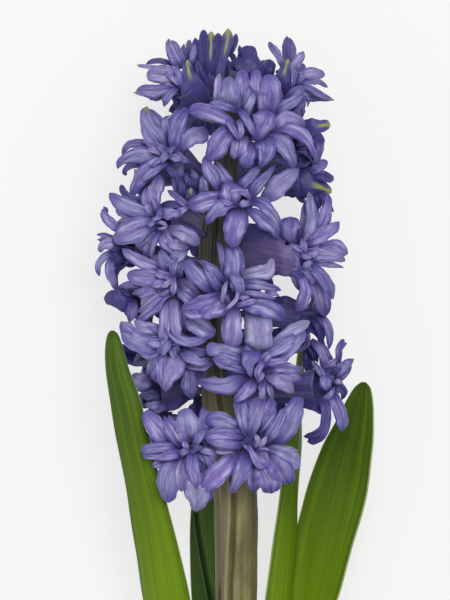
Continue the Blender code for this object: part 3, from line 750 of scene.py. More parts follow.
floret(
    "floret_front_4", (255, 367), 53.5, 373, (0.15, -0.03, 1.0),
    [
        q((264, 351, 4, 4), (280, 340, 6, 6), (293, 331, 7.5, 7), (303, 326, 6, 4), (309.5, 321), z=(-4.5, -1, -2, -3.5), pale=0.7, green=0.35, rise=(0.15, 0.15)),
        q((260, 356, 2, 4), (273, 351, 4, 6), (284, 345, 6, 7), (293, 338, 5, 4), (298, 331.5), z=(-2.5, 1.2, 0.4, -2.5), rise=(0.1, 0.4)),
        q((270, 360, 3, 3), (284, 356, 4, 4), (293, 347, 4, 5), (300, 338, 4, 5), (304.5, 330.5), z=(-3, 0.8, -0.2, -3), rise=(0.6, 0.15)),
        q((262, 361, 3, 4), (273, 361, 3, 4), (282, 359, 2.5, 4), (290.5, 352.5), z=(-1, 1.8, 0), rise=(0.3, 0.6)),
        q((264, 368, 5, 5), (276, 367, 6, 6), (286, 368, 6, 6), (294, 369, 4, 4), (302.5, 367), z=(-4, -0.4, -1.5, -4)),
        q((268, 371, 3, 4), (282, 373, 4, 6), (293, 376, 4, 6), (301.5, 379), z=(-4.2, -0.8, -2, -4.5)),
        q((266, 374, 5, 4), (277, 380, 7, 6.5), (286, 386, 7, 6), (293.5, 392.5), z=(-4, 0, -1, -4), pale=0.5),
        q((247, 358, 6, 6), (233, 353, 7, 7), (221, 350, 8, 7), (212, 348, 8, 6), (206, 347), z=(-4.5, -0.6, -1.5, -4), pale=0.35, blunt=0.45, rise=(0.15, 0.15)),
        q((246, 365, 4, 5), (234, 361, 6, 6), (222, 357, 5, 5.5), (213, 353.5), z=(-3, 1.0, -0.5, -2.5)),
        q((248, 371, 3, 3), (236, 367.5, 4.5, 4), (224, 363.5, 5, 4), (212.5, 357.5), z=(-2.5, 1.4, 0.2, -2), rise=(0.1, 0.55)),
        q((247, 375, 3, 3), (236, 379.5, 9, 6), (224, 384, 10.5, 7), (212, 384, 7.5, 7), (204, 382, 4, 4.5), (198.5, 380), z=(-4.2, -0.4, -1, -5), blunt=0.5),
        q((254, 379, 4, 4), (249, 387, 6.5, 6), (243, 393.5, 6.5, 6), (238, 398, 4.5, 4.5), (234, 402), z=(-3.5, 1.2, 0.3, -2.5), rise=(0.35, 0.35)),
        q((262, 380, 3.5, 4), (262, 390, 4, 4), (262, 398, 4, 4), (262, 404), z=(-4.5, -2.5, -6)),
        q((268, 380, 3, 3.5), (270, 390, 3, 3.5), (273, 402), z=(-4.8, -3, -6.5)),
        q((252, 350, 9, 9), (251, 357, 9.5, 10), (249.5, 363, 5.5, 7), (250, 370, 3, 3.5), (251, 377), z=(1.5, 3.4, 2.6, 0.8), rise=(0.15, 0.25), violet=0.5, blunt=0.8),
        q((264, 360, 2.5, 3), (260, 366, 3.5, 3.5), (257, 373, 3, 3), (259, 380), z=(0.6, 2.8, 1.2), rise=(0.3, 0.8)),
        q((257, 381, 2, 2), (261, 376, 3, 3), (263, 371), z=(0.4, 2.2, 1.2), rise=(0.8, 0.8), pale=0.2),
        p(246, 345, 11, 252, 362, 1.6, tz=0.0),
        p(272, 352, 11, 259, 363, 1.7, tz=-0.5, roll=20),
    ],
)
floret(
    "floret_front_5", (250, 443), 53.5, 437, (0.1, -0.06, 1.0),
    [
        q((247, 438, 3, 3), (244.5, 428, 4.5, 5), (242, 415, 6.8, 7.5), (241.5, 405, 7, 8), (241.5, 396), z=(-4, -0.5, -1.5, -4), rise=(0.15, 0.3), blunt=0.42),
        q((251, 438, 3, 3), (252, 425, 4.5, 5.5), (254.5, 412, 6.5, 7.5), (256, 403, 8, 7.5), (256, 396.5), z=(-3.5, 0.2, -0.8, -4), rise=(0.15, 0.3), pale=0.25, blunt=0.42),
        q((251.5, 438, 1.4, 1.6), (257, 424, 2, 2.2), (261.5, 410, 2, 2.4), (264.5, 399), z=(-1.5, 2.0, 1.0, -2.5), pale=0.4, rise=(0.5, 0.1)),
        q((256, 433, 2, 3), (261, 422, 3.5, 4), (267, 411, 5.5, 6), (270, 404, 6, 6), (270, 398), z=(-3.5, -0.6, -1.6, -4.5), deep=0.25, blunt=0.45),
        q((258, 434, 1.5, 2), (265, 424, 2.4, 2.8), (271.5, 415, 2.6, 3.2), (276, 407), z=(-3, 0.8, 0.2, -2.5), rise=(0.55, 0.1), pale=0.2),
        q((264, 444, 4, 3), (271, 433, 6, 5.5), (277, 423, 6.5, 6), (282, 414, 5, 5), (286.5, 406.5), z=(-2.8, 1.4, 0.6, -1.5), rise=(0.45, 0.45), lobe=0.25),
        q((272, 446, 3, 5), (281, 435, 7, 8), (289.5, 423, 11.5, 10), (295.5, 411, 12.5, 8), (299, 403.5, 8.5, 4), (302.5, 397.5), z=(-4.5, -0.8, -1.5, -1.8, -3.5), rise=(0.25, 0.1), lobe=0.22, blunt=0.7),
        q((266, 448, 3, 3), (277, 450, 6.5, 7), (287, 454.5, 10, 11.5), (294, 459, 9.5, 10.5), (300.5, 458.5), z=(-4, 0, -0.8, -3.5), pale=0.7, rise=(0.15, 0.1), blunt=0.42),
        q((264, 452, 4, 4), (272, 460, 8.5, 8.5), (280, 469, 12, 12), (285, 475.5, 10, 10), (288, 482), z=(-4, 0.3, -0.6, -3.5), tooth=0.5, blunt=0.4),
        q((256, 456, 4, 4), (262, 467, 9.5, 9.5), (268, 478, 12.5, 12), (270, 485, 10.5, 10.5), (271, 491), z=(-4.5, -0.4, -1.5, -4), tooth=0.6, blunt=0.35),
        q((253, 457, 3, 3), (253.5, 469, 6, 6), (253.5, 481, 8, 8), (253.5, 489.5), z=(-5, -1.2, -2.4, -5), tooth=0.4, deep=0.45, blunt=0.4),
        q((246, 451, 5, 4.5), (243.5, 463, 8.5, 8), (239, 475, 7, 7), (235, 484, 5, 5), (231, 492.5), z=(-3, 1.4, 0.4, -2.5), rise=(0.4, 0.4), lobe=0.25),
        q((239, 452, 4, 4), (229, 461, 8.5, 8), (220, 470, 11, 9.5), (212, 478, 10.5, 8.5), (206, 485, 6.5, 5.5), (202.5, 490), z=(-4, 0, -0.5, -3.5), violet=0.9, rise=(0.1, 0.15)),
        q((243, 431, 3, 4), (231, 424, 7, 7), (220, 420, 10, 9), (212, 420, 9, 8), (206, 423), z=(-4.5, -1.2, -1.8, -4), rise=(0.1, 0.15), blunt=0.5),
        q((244, 436, 4, 5), (231, 433, 7, 7), (219, 433, 6.5, 6.5), (210, 434.5, 4.5, 4.5), (203.5, 437.5), z=(-3.6, 0.4, -0.4, -3)),
        q((245, 444, 3, 3), (232, 443.5, 5, 4.2), (220, 442, 5, 4), (211, 440, 3, 3), (205.5, 438), z=(-2.8, 1.2, 0.4, -2.5), rise=(0.5, 0.4)),
        q((239, 449, 4, 3), (228, 449, 5, 5), (219, 449, 4.5, 5), (212, 447), z=(-4.5, -2, -4.5), pale=0.5),
        q((248, 441, 1.5, 1.5), (251, 450, 2.7, 2.7), (256, 459, 4, 3.5), (261, 465, 3, 3), (266, 461.5), z=(1.5, 2.6, 2.2, 2.6), rise=(0.2, 0.6)),
        q((254, 446, 2, 2), (257, 439.5, 3.2, 3.2), (255.5, 433), z=(1.0, 2.6, 2.0), pale=0.9),
        q((258.5, 446.5, 2, 2), (263, 441, 2.8, 2.5), (266.5, 434.5), z=(1.0, 2.8, 2.0), pale=0.8, rise=(0.2, 0.7)),
        q((249, 450.5, 1, 1), (245, 445, 1.3, 1.3), (240.5, 440), z=(1.2, 2.4, 1.0)),
        q((257, 448, 1.2, 1.2), (264, 447.5, 1.6, 2), (271, 450), z=(0.6, 1.8, 0.2)),
        p(268, 468, 13, 253, 449, 1.0, tz=0.0, cup=(1.1, 0.8), via=(262, 457)),
        p(247, 436, 6, 249, 444, 1.6, tz=1.0, deep=1.0),
        p(255, 434, 6, 252, 443, 1.5, tz=1.0, deep=1.0),
        q((243.5, 443.5, 1.5, 1.5), (245.5, 440, 1.9, 1.9), (247.5, 436.5), z=(2.2, 3.6, 3.2), deep=1.7, rise=(0.3, 0.3)),
        q((248, 443, 1.4, 1.4), (249.5, 439, 1.8, 1.8), (251, 435.5), z=(2.2, 3.8, 3.4), deep=1.7, rise=(0.3, 0.3)),
        q((251.5, 445, 1.3, 1.3), (253.5, 441.5, 1.7, 1.7), (256, 439), z=(2.0, 3.8, 3.4), deep=1.6, rise=(0.3, 0.3)),
    ],
)
floret(
    "floret_left_1", (178, 80), 42.0, 112, (-0.6, 0.55, 0.6),
    [
        q((181, 69, 2, 3), (174, 57, 6.5, 5), (169.5, 47, 4, 4), (168.5, 38), z=(-4, 0, -1, -4.5), rise=(0.25, 0.45)),
        q((185, 65, 2, 2), (179.5, 54, 4, 3.5), (175.5, 46, 3.5, 3.5), (171.5, 39.5), z=(-4.5, -1.4, -5)),
        q((187, 63, 2, 2), (183.5, 53, 3.5, 3.5), (184, 43), z=(-6, -4, -8), deep=0.9),
        q((191, 61, 2.5, 2.5), (189, 50, 3, 3), (189, 44, 2.8, 2.8), (189, 39), z=(-7, -5, -8), deep=0.8, blunt=0.5),
        q((191, 66, 3, 3), (193, 54, 3.2, 3.7), (195.5, 43), z=(-5, -1.5, -4)),
        q((165, 68.5, 2, 2), (152, 67, 2.3, 2.3), (144, 66, 2, 2), (136.5, 64.5), z=(-4.5, -3, -6), green=2.4, pale=0.6, blunt=0.5),
        q((173, 64.5, 2, 2), (160, 61, 2.8, 3.2), (152, 61.5, 2.5, 2.7), (145.5, 63.8), z=(-4, -1, -4), deep=0.9, rise=(0.5, -0.3)),
        q((179, 79, 4, 5), (168, 76, 9, 9.5), (158, 75, 9.5, 9.5), (151, 74, 6.5, 6.5), (146.5, 73), z=(-3.8, 0.2, -0.5, -2.5), pale=0.7, blunt=0.5, rise=(0.35, 0.35)),
        q((178, 80, 2, 2), (170, 71, 3.3, 3.3), (159, 65), z=(-2, 1.6, -0.5), rise=(0.2, 0.5)),
        q((179, 88, 2, 2), (165, 89.5, 4.5, 4), (152, 91, 7.5, 6), (143, 90, 5, 5), (136, 90.5), z=(-3.8, 0.4, -0.8, -5), violet=0.4),
        q((166, 93, 2, 3), (152, 95.5, 3.3, 3.3), (143, 94, 2.5, 2.5), (133, 92), z=(-4.5, -2.5, -6), green=2.2, pale=0.3, rise=(0.1, 0.4)),
        q((179, 88.5, 1.5, 2), (171, 95, 3.5, 4.5), (166.5, 101, 3.5, 3.5), (163.5, 106.5), z=(-3, 0.6, -3.5), rise=(0.6, 0.1)),
        q((171, 91, 2, 3), (160, 96.5, 4, 4), (149, 99.5), z=(-4.5, -3, -6), deep=0.8),
        q((181, 89, 2, 2), (178.5, 76, 3.5, 3.5), (176, 65.5), z=(-2.5, 1.6, 0), deep=0.2, rise=(0.2, 0.5)),
        q((180, 86, 2, 2), (174, 80, 3, 3), (167, 72), z=(-1, 1.8, 0.2)),
        q((182, 84, 2, 2), (184, 73, 2.5, 2.5), (185, 64), z=(-1.5, 1.2, -0.5), deep=0.5),
        q((197, 108, 15, 17), (193, 93, 13, 14.5), (190.5, 80, 8.5, 9), (188.5, 71, 4.5, 5), (187.5, 60.5), z=(-5.5, 0.5, 2.5, 3.0), keel=1.1, green=1.2, deep=0.75, back=True, free=True, rise=(-0.3, -0.3), lobe=0.04, curl=(0, 0), violet=0.3),
        q((208, 108, 6, 7), (205, 92, 6, 7), (200, 76, 5, 6), (197, 60), z=(-9, -4, -2.5), back=True, free=True, deep=1.3, rise=(-0.2, -0.2)),
        q((181, 104, 8, 10), (178, 98, 6, 8), (174, 92), z=(-6, -3.5, -4), back=True, free=True, deep=1.0, rise=(-0.2, -0.2)),
    ],
    reach=13.0,
    dim=0.25,
)
floret(
    "floret_top_1", (208, 58), 36.0, 104, (-0.12, 1.0, 0.25),
    [
        q((204, 98, 5, 5), (200, 75, 6.5, 7), (197, 58, 5.5, 6), (196, 47, 4.6, 4.6), (195, 37.5), z=(-8, -1, 0.5, -2), back=True, free=True, deep=1.25, rise=(-0.3, 0.2)),
        q((207, 98, 4, 4), (204, 70, 7, 7), (203, 50, 6, 6.4), (203.5, 38, 4.6, 4.8), (203.5, 29.5), z=(-7, 0.6, 2, -0.5), back=True, free=True, deep=1.3, blunt=0.5, rise=(-0.3, -0.3)),
        q((210, 98, 3, 3), (210, 70, 5.5, 5.5), (210.8, 50, 4.8, 4.8), (211, 40, 4, 4), (211, 31.5), z=(-6, 2.2, 3.6, 1.0), back=True, free=True, deep=1.25, keel=1.2, green=0.4, blunt=0.5, rise=(-0.5, -0.5)),
        q((213, 98, 4, 4), (215, 70, 6.5, 6), (217.5, 50, 5.8, 5.8), (218, 40, 4.6, 4.6), (218, 33), z=(-6.5, 1.2, 2.6, 0), back=True, free=True, deep=1.25, blunt=0.5, rise=(-0.3, -0.3)),
        q((214, 98, 4, 4), (219, 76, 4, 5), (223, 59, 4.4, 4.6), (226.5, 47, 5, 4.8), (228, 38, 5.5, 4.8), (228, 28.5), z=(-6, 2.0, 3.4, 3.6, 1.5), back=True, free=True, keel=1.3, green=1.6, deep=0.9, rise=(-0.4, -0.4), pale=0.2),
        q((226, 57, 1.5, 2), (231, 50, 3.4, 3.6), (235, 42, 3.2, 3.2), (236, 33.5), z=(-1, 1, 1, -1), back=True, free=True, deep=1.6, blunt=0.5),
        q((208, 96, 4, 4), (206, 75, 5, 5), (199, 62), z=(-9, -4, -4), back=True, free=True, deep=1.6),
        q((222, 78, 4, 4), (226, 68, 4, 4), (224, 56), z=(-7, -3, -3), back=True, free=True, deep=1.6),
    ],
    reach=9.5, flare=3.6,
    dim=0.4,
)
floret(
    "floret_top_2", (243, 62), 28.0, 98, (0.2, 1.0, -0.1),
    [
        q((246, 92, 10, 11), (248, 73, 12.5, 14), (248, 59, 11.5, 12.5), (247, 51, 8.5, 9.5), (246, 45), z=(-5, 3.5, 4, 1.5), back=True, free=True, deep=1.35, blunt=0.45, rise=(-0.3, -0.3), lobe=0.03),
        q((236, 80, 3, 3), (235.5, 64, 3.5, 3.5), (233, 57, 3.2, 3.2), (230, 51.5), z=(-3, 2.5, 1), back=True, free=True, deep=1.4, rise=(-0.3, 0.5)),
        q((232, 90, 5, 5), (230, 73, 6, 6), (226, 57), z=(-5, 1.0, -1), back=True, free=True, deep=1.35, rise=(-0.2, -0.2)),
        q((240, 60, 2, 2), (240, 51, 2.5, 2.5), (239.5, 44.5), z=(2, 3.5, 2), back=True, free=True, deep=1.35),
        p(268, 60, 20, 256, 92, 0.0, back=True, free=True, bz=-5, pz=3.5, tz=1.0, deep=1.1, blunt=0.4),
    ],
    reach=10.5, flare=3.8,
    dim=0.4,
)
floret(
    "floret_right_1", (290, 80), 42.0, 116, (0.55, 0.55, 0.65),
    [
        q((285, 72, 3, 3), (280, 60, 3.5, 3.5), (274.5, 50.5, 3.8, 3.8), (270.8, 45.5, 2.8, 2.8), (269, 41.5), z=(-4, 0, -1, -4), rise=(0.4, 0.3), deep=0.2),
        q((287, 72, 3, 3), (286.5, 60, 4, 4), (286.5, 50, 4.7, 4.5), (286.5, 43, 3.2, 4), (287, 35.5), z=(-5, -0.5, -1, -4), deep=0.9, rise=(0.3, 0.2)),
        q((291, 72, 3, 3), (293, 60, 4, 3.5), (293.5, 50, 4, 2.8), (291.5, 42, 3, 2), (289.5, 37), z=(-6, -2.5, -5), deep=0.3),
        q((292, 74, 4, 4), (296, 65, 6, 4.5), (301, 57, 4.5, 4), (303.8, 51), z=(-4, 0, -3), pale=0.3, rise=(0.2, 0.3)),
        q((296, 78, 3, 3), (301, 70, 3.5, 3.5), (301.5, 62.5), z=(-3, 0.5, -1.5), deep=0.8),
        q((297, 76, 3, 3), (303, 69, 3, 3), (303.8, 63), z=(-6, -4, -6), deep=0.9),
        q((297, 79, 3, 4), (305, 75, 6, 6), (314, 73.5, 5.5, 6), (320, 73.8, 4.3, 4.5), (325.2, 74.8), z=(-3, 1.4, 0, -4), pale=0.4, blunt=0.55, rise=(0.3, 0.1)),
        q((298, 81, 3, 3), (309, 80.5, 4, 4), (318, 82, 3.5, 2.6), (323, 84.5, 2.4, 2), (328, 87.3), z=(-4, -0.6, -2, -6)),
        q((295, 84, 2.5, 3), (306, 86.5, 3, 4), (315, 91, 2.8, 4.5), (324, 96, 2, 4), (334.5, 100.3), z=(-1.5, 2.4, 1.2, -3), rise=(0.7, -0.2), green=0.5),
        q((298, 94, 4, 4), (308, 96.5, 5.5, 5.5), (320, 98.5, 4, 3), (332, 100.5), z=(-4, -1.5, -2.5, -4.5), deep=1.0),
        q((286, 101, 3, 3), (293, 94, 5, 5), (302, 90.5, 4, 4), (309, 93.5), z=(-3, 1.2, 1.0, -1), deep=0.3, rise=(0.3, 0.1)),
        q((289, 99, 3, 3), (297, 96.5, 3.5, 3.5), (305, 97, 3, 3), (307, 102), z=(-2.5, 0.8, 0.4, -2), deep=0.5),
        q((303, 96, 3, 3), (302.5, 104, 3.5, 4.5), (300, 111, 5, 5), (302, 119), z=(-3, 0, -1, -4), deep=0.35),
        q((262, 92, 9, 9), (264, 78, 9, 9), (268, 68, 7.5, 7.5), (270, 59.5), z=(-9, -4, -2, -4), deep=1.4, blunt=0.4, rise=(-0.3, -0.3), back=True, free=True),
        q((283, 100, 5, 6), (283.5, 88, 6.5, 6.5), (284, 76, 7.5, 6), (286, 67, 4.5, 4.2), (288, 59.5), z=(-5, 1.5, 3, 3), keel=1.2, green=1.2, deep=0.8, rise=(-0.4, -0.4), lobe=0.03, curl=(0, 0), back=True, free=True),
        q((292, 90, 2, 2), (293, 77, 2.4, 2.6), (293.5, 65), z=(-1, 2.2, 0.5), deep=0.3, rise=(0.3, 0.3)),
        q((295, 86, 2, 2), (297, 76, 2.5, 2.5), (297, 67), z=(-2, 1.2, -1), deep=0.7),
        q((270, 100, 7, 7), (276, 88, 6, 7), (277, 76), z=(-8, -4, -4), deep=1.6, back=True, free=True),
    ],
    reach=13.5,
    dim=0.3,
)
floret(
    "floret_left_2", (168, 153), 46.5, 184, (-0.55, 0.22, 0.8),
    [
        q((165, 153, 4, 5), (160, 145, 10, 9), (153, 135, 10.5, 10), (148, 124, 8.5, 7), (146.5, 114, 6, 5), (147.4, 106.5), z=(-4, 0.5, -1, -4), keel=0.7, green=0.5, pale=0.35, rise=(0.3, 0.35)),
        q((170, 140, 4, 4), (164, 127, 6, 5), (157, 118, 5, 4), (150, 109), z=(-5, -2.5, -6), deep=0.5),
        q((168, 138, 5, 5), (172, 124, 5, 5), (180, 107), z=(-6, -4, -8), deep=0.6),
        q((175, 155, 4, 4), (175, 146, 6, 6), (176, 134, 7.5, 7), (179, 123, 8, 8), (185, 113, 5, 5), (189.5, 109.5), z=(-3, 1.2, 1, -2), rise=(0.25, 0.7), curl=(0, 0.3)),
        q((180, 155, 2, 2), (187, 144, 7, 6), (194, 138, 9.5, 8.5), (202, 135.5, 8.5, 8.5), (209, 134), z=(-4, 0.4, -1, -4.5), blunt=0.45, pale=0.3),
        q((164, 154, 3, 4), (152, 155, 6, 5), (140, 155.5, 8.5, 8), (129, 158, 5.5, 6.5), (121, 162.5, 3, 4), (117.5, 169), z=(-4, 1, -0.5, -4.5), pale=0.35),
        q((152, 148, 3, 4), (140, 143.5, 4, 4), (130, 145, 3.5, 4.5), (122, 155), z=(-4.5, -1.5, -4.5), deep=0.6),
        q((148, 163, 2, 2), (137, 165.5, 3, 3), (127.5, 167.5, 3, 3), (124.5, 172, 2.6, 2.6), (127, 175.5), z=(-5, -3, -5), deep=1.0, blunt=0.45),
        q((160, 160, 3, 3), (150, 167, 6, 6), (142, 176, 7.5, 7), (136, 186, 6, 5.5), (132.5, 197.5), z=(-4, 0.4, -1, -4), violet=0.5),
        p(141, 184, 8, 163, 163, 1.3, tz=-1.5, cup=(0.9, 0.4)),
        q((168, 157, 3, 3), (176, 158.5, 4, 4), (184, 161), z=(-2, 2, 0.5), rise=(0.4, 0.8)),
        p(190, 163, 10, 172, 154, 0.7, tz=-2.0, cup=(0.9, 0.5)),
        q((168, 160, 6, 6), (176, 170, 8, 8), (180, 182), z=(-5, -4, -6), deep=0.9),
        q((152, 168, 2, 2), (156, 163, 2.5, 2.5), (164, 159.5), z=(1.0, 2.4, 1.0), rise=(0.8, 0.3)),
        p(157, 144, 8, 167, 152, 1.8, tz=1.5, cup=(1.0, 0.7)),
        p(160, 163, 9, 170, 155, 1.9, tz=1.0, cup=(1.0, 0.7)),
        p(176, 147, 8, 169, 155, 2.0, tz=1.8, cup=(1.1, 0.7)),
    ],
)
floret(
    "floret_right_2", (306, 139), 38.0, 150, (0.9, 0.22, 0.35),
    [
        q((299, 131, 10, 9), (311, 128, 8.8, 9), (320, 126.3, 6.8, 7), (326.5, 125, 5, 4.8), (330.3, 124.5), z=(-2, 3.2, 2.8, 1.2, 0), keel=1.4, green=0.8, deep=0.7, rise=(-0.35, -0.35), lobe=0.04, curl=(0, 0), blunt=0.5, back=True, free=True),
        q((305, 140, 6, 7), (314, 140, 7.5, 7.5), (320, 141, 7, 7), (324.8, 141), z=(-2, 1.8, 1.2, 0), deep=1.5, rise=(-0.3, -0.3), blunt=0.5, back=True, free=True),
        q((320, 139, 3.5, 4), (319.5, 149, 4, 5), (317.5, 158, 3.5, 4), (313.5, 167), z=(-1, 2.6, 1.6, -1), deep=0.4, pale=0.2, rise=(0.4, 0.1), free=True),
        q((298, 140, 8, 8), (304, 152, 8, 8), (306, 163, 7, 7), (306, 175), z=(-8, -5, -5, -6), deep=1.5, back=True, free=True),
        q((310, 146, 4, 4), (313, 155, 4, 4), (311, 166), z=(-3, -1, -3), deep=1.3, back=True, free=True),
    ],
    reach=12.5,
    dim=0.4,
)
floret(
    "floret_right_3", (312, 178), 34.5, 186, (1.0, -0.03, 0.12),
    [
        q((283, 184, 12, 12), (297, 183, 14, 15), (309, 184, 12, 13), (319, 187, 8, 9), (327, 190, 5, 6), (331.8, 192.5), z=(-3, 1.5, 2.5, 1.6, 0.4), deep=1.3, keel=0.8, green=0.8, rise=(-0.35, -0.35), lobe=0.03, curl=(0, 0), back=True, free=True),
        q((307, 175, 3, 4), (315, 169.5, 4.5, 5), (322, 165, 5.5, 5), (327.5, 161), z=(-1, 2.8, 2.2, 0.4), blunt=0.45, deep=0.25, free=True),
        q((307, 176, 4, 4), (318, 175.5, 5, 4.5), (326, 177, 5.5, 5.5), (331, 179, 4, 4), (333.8, 180), z=(-1, 2.6, 2.6, 1.4, 0), deep=1.05, blunt=0.45, free=True),
        q((318, 190, 3, 3), (325, 198, 4, 3.5), (329, 205, 2.5, 2.5), (334, 212.5), z=(-2, 2, 1, -1), deep=0.7, free=True),
        q((321, 192, 3, 3), (325, 203, 4, 3.5), (326.5, 213, 5, 5), (326.5, 220, 5, 5.5), (326, 227), z=(-3, 1, 0.5, -1, -3), pale=0.3, free=True),
        q((313, 188, 3, 3), (318, 198, 4, 4), (320, 209), z=(-3, 0.6, -1), deep=1.5, free=True),
        q((309, 188, 5, 5), (313, 200, 5, 5), (317, 219), z=(-4, -2, -5), deep=1.5, back=True, free=True),
        q((303, 190, 4, 4), (301, 196, 5, 5), (304, 203), z=(-4, -1, -3), deep=1.5, back=True, free=True),
    ],
    reach=12.5, flare=5.0,
    dim=0.35,
)
floret(
    "floret_left_3", (155, 221), 47.0, 236, (-0.5, 0.05, 0.85),
    [
        q((150, 222, 5, 5), (138, 223, 6, 6), (126, 223, 5.5, 6), (115.5, 226), z=(-5, -2, -2, -5), deep=0.2),
        q((140, 216, 4, 4), (130, 213, 7, 6), (121, 211, 6, 5), (115.5, 210), z=(-5, -2, -5), deep=0.3),
        q((157, 224, 5, 4), (147, 226, 9, 10), (136, 230, 13, 12), (126, 234, 11.5, 11), (118, 237, 7.5, 7), (112.5, 237), z=(-3.5, 1.3, 0.3, -4), violet=0.9, pale=0.3, rise=(0.15, 0.1)),
        q((158, 215, 3, 4), (146, 211.5, 6, 5), (134, 209, 9, 7), (123, 204, 9, 7), (115, 198, 5.5, 5), (109.5, 193), z=(-4, 0.4, -0.5, -3.5), rise=(0.1, 0.35), pale=0.2),
        q((147, 207, 2, 3), (136, 200, 3, 4), (127, 196, 3.5, 4), (122.5, 190, 3.3, 3.3), (121.5, 184.5), z=(-4.5, -3, -5), deep=1.0, blunt=0.45),
        q((123, 231, 3, 3), (113, 224, 6, 4.5), (106, 216, 5, 3.5), (102.5, 208.5), z=(-5, -2, -3, -7), rise=(0.35, 0.2)),
        q((106, 214, 2, 2), (106, 209.5, 2, 2), (103, 206.5), z=(-6.5, -6, -7), deep=1.0),
        q((151, 213, 3, 3), (147, 204, 4, 4.5), (146, 196, 4, 4.5), (148, 187.5), z=(-3, 0.6, -1.5)),
        q((160, 214, 4, 3), (156, 204, 5, 5), (154.5, 193, 7, 8), (158, 184, 6, 7), (159.5, 175), z=(-4, 0.3, -0.8, -4), violet=0.6, pale=0.2),
        q((159.5, 214, 1.5, 1.5), (154, 203, 1.5, 2), (149.5, 192), z=(-1, 1.8, -1), rise=(0.3, 0.3)),
        q((159, 213, 3, 4), (168, 213.5, 5.5, 6), (176, 213.5, 4, 4.5), (182.5, 212), z=(-3, 1.3, 0.4, -2), deep=0.2, rise=(0.15, 0.5)),
        q((161, 206, 2, 3), (172, 204, 3.5, 4), (181, 206, 2.5, 3), (190, 209.5), z=(-4.5, -3.2, -5), deep=1.0),
        q((191, 208, 3, 3), (181, 201, 4, 4), (174, 195, 3, 3), (167.5, 190.5), z=(-4.5, -3, -4, -5), deep=0.6),
        q((157, 223, 1.5, 1.5), (163, 223.5, 2, 2), (168.5, 227), z=(1.0, 2.8, 1.6), pale=0.3),
        q((158, 229, 1.3, 1.3), (164, 228.5, 1.4, 1.6), (168.5, 226.5), z=(1.0, 2.6, 1.6), pale=0.3),
        q((157, 222, 1.5, 1.8), (152, 224, 2.2, 2.2), (148, 228), z=(0.8, 2.6, 1.4), blunt=0.5),
        q((163, 217, 2, 2), (156, 219, 2.2, 2.2), (151, 222.5), z=(0.6, 2.4, 1.2)),
        q((159, 232, 2, 2), (154, 241, 4.5, 6), (149.5, 250, 4.5, 8), (146, 259), z=(-4, -0.8, -2, -4)),
        q((162, 231, 1.5, 1.5), (156, 240, 2, 2.5), (153, 250, 1.8, 2.5), (151.5, 263), z=(-1.5, 1.6, 0.5, -1.5), rise=(0.2, 0.7)),
        p(190, 208, 9, 176, 216, 0.0, tz=-4.0, green=0.8),
        q((167, 229, 3, 3), (176, 231, 6, 7), (187, 235, 7.5, 9), (194, 241, 6, 6), (198, 246), z=(-4, 0, -1, -4), pale=0.5, green=0.2, blunt=0.45),
        q((164, 236, 4, 4), (173, 243, 7, 6), (183, 246, 6, 5), (190, 247), z=(-4.5, -1.4, -2, -5), pale=0.35),
        q((165, 240, 6, 6), (170, 250, 8, 8), (176, 260), z=(-5.5, -3.5, -6), deep=0.7),
        p(181, 259, 15, 163, 234, 0.0, tz=-6.5, pale=0.2, blunt=0.5),
        p(161, 209, 8, 158, 222, 1.5, tz=1.0, cup=(1.1, 0.8)),
    ],
)
floret(
    "bud_half_open", (188, 187), 42.0, 205, (-0.35, 0.0, 0.9),
    [
        q((197, 201, 10, 10), (189, 190, 11, 11), (183, 178, 9, 9), (182, 167), z=(-6, -2, -1, -3), deep=1.5, rise=(-0.3, -0.3), back=True, free=True),
        q((189, 201, 4, 5), (180, 192, 4.5, 4.5), (176, 182, 4, 4), (177, 173, 4, 3), (183, 167.5), z=(-2, 2, 2.4, 2.2, 1), deep=0.55, rise=(0.5, 0.1), free=True),
        q((188, 201, 3, 3), (184, 193, 5, 5), (182, 185, 5, 5), (183, 177), z=(-1, 4, 4, 2.4), deep=0.65, rise=(-0.25, -0.25), free=True),
        q((190, 191, 2, 2), (188, 182, 2.6, 2.6), (184, 173.5), z=(1, 5, 3.4), deep=0.2, free=True),
        q((194, 194, 3, 3), (193, 185, 4, 4), (190.5, 176), z=(1, 5, 3.4), deep=0.45, free=True),
        q((199, 188, 3, 3), (196, 179, 3.5, 3.5), (191.5, 169.5), z=(0, 3.4, 2.4), pale=0.3, green=0.4, free=True),
        q((202, 199, 4, 4), (202, 188, 5.5, 5.5), (203, 174.5), z=(-1, 2.4, 1), violet=0.5, deep=0.1, free=True),
        q((190, 205, 4, 4), (191, 197, 5.5, 5), (191, 188.5), z=(0, 5.4, 6), green=1.0, keel=0.8, blunt=0.4, rise=(-0.3, -0.3), back=True, free=True),
        q((190, 206, 3, 3), (181, 200, 4, 4), (174, 194, 3, 3), (168, 191), z=(-2, 1.6, 0.6, -1.5), deep=0.85, free=True),
        q((189, 210, 2, 2), (178, 205, 2.8, 2.8), (166.5, 201), z=(-1.5, 0.8, -1.5), deep=0.2, rise=(0.7, 0.2), free=True),
        q((178, 177, 2, 2), (173, 173, 3, 3), (168.5, 171), z=(0, 1.4, 0), green=0.7, deep=0.4, free=True),
    ],
    reach=5.0, flare=3.2, fill=False,
    dim=0.85,
)
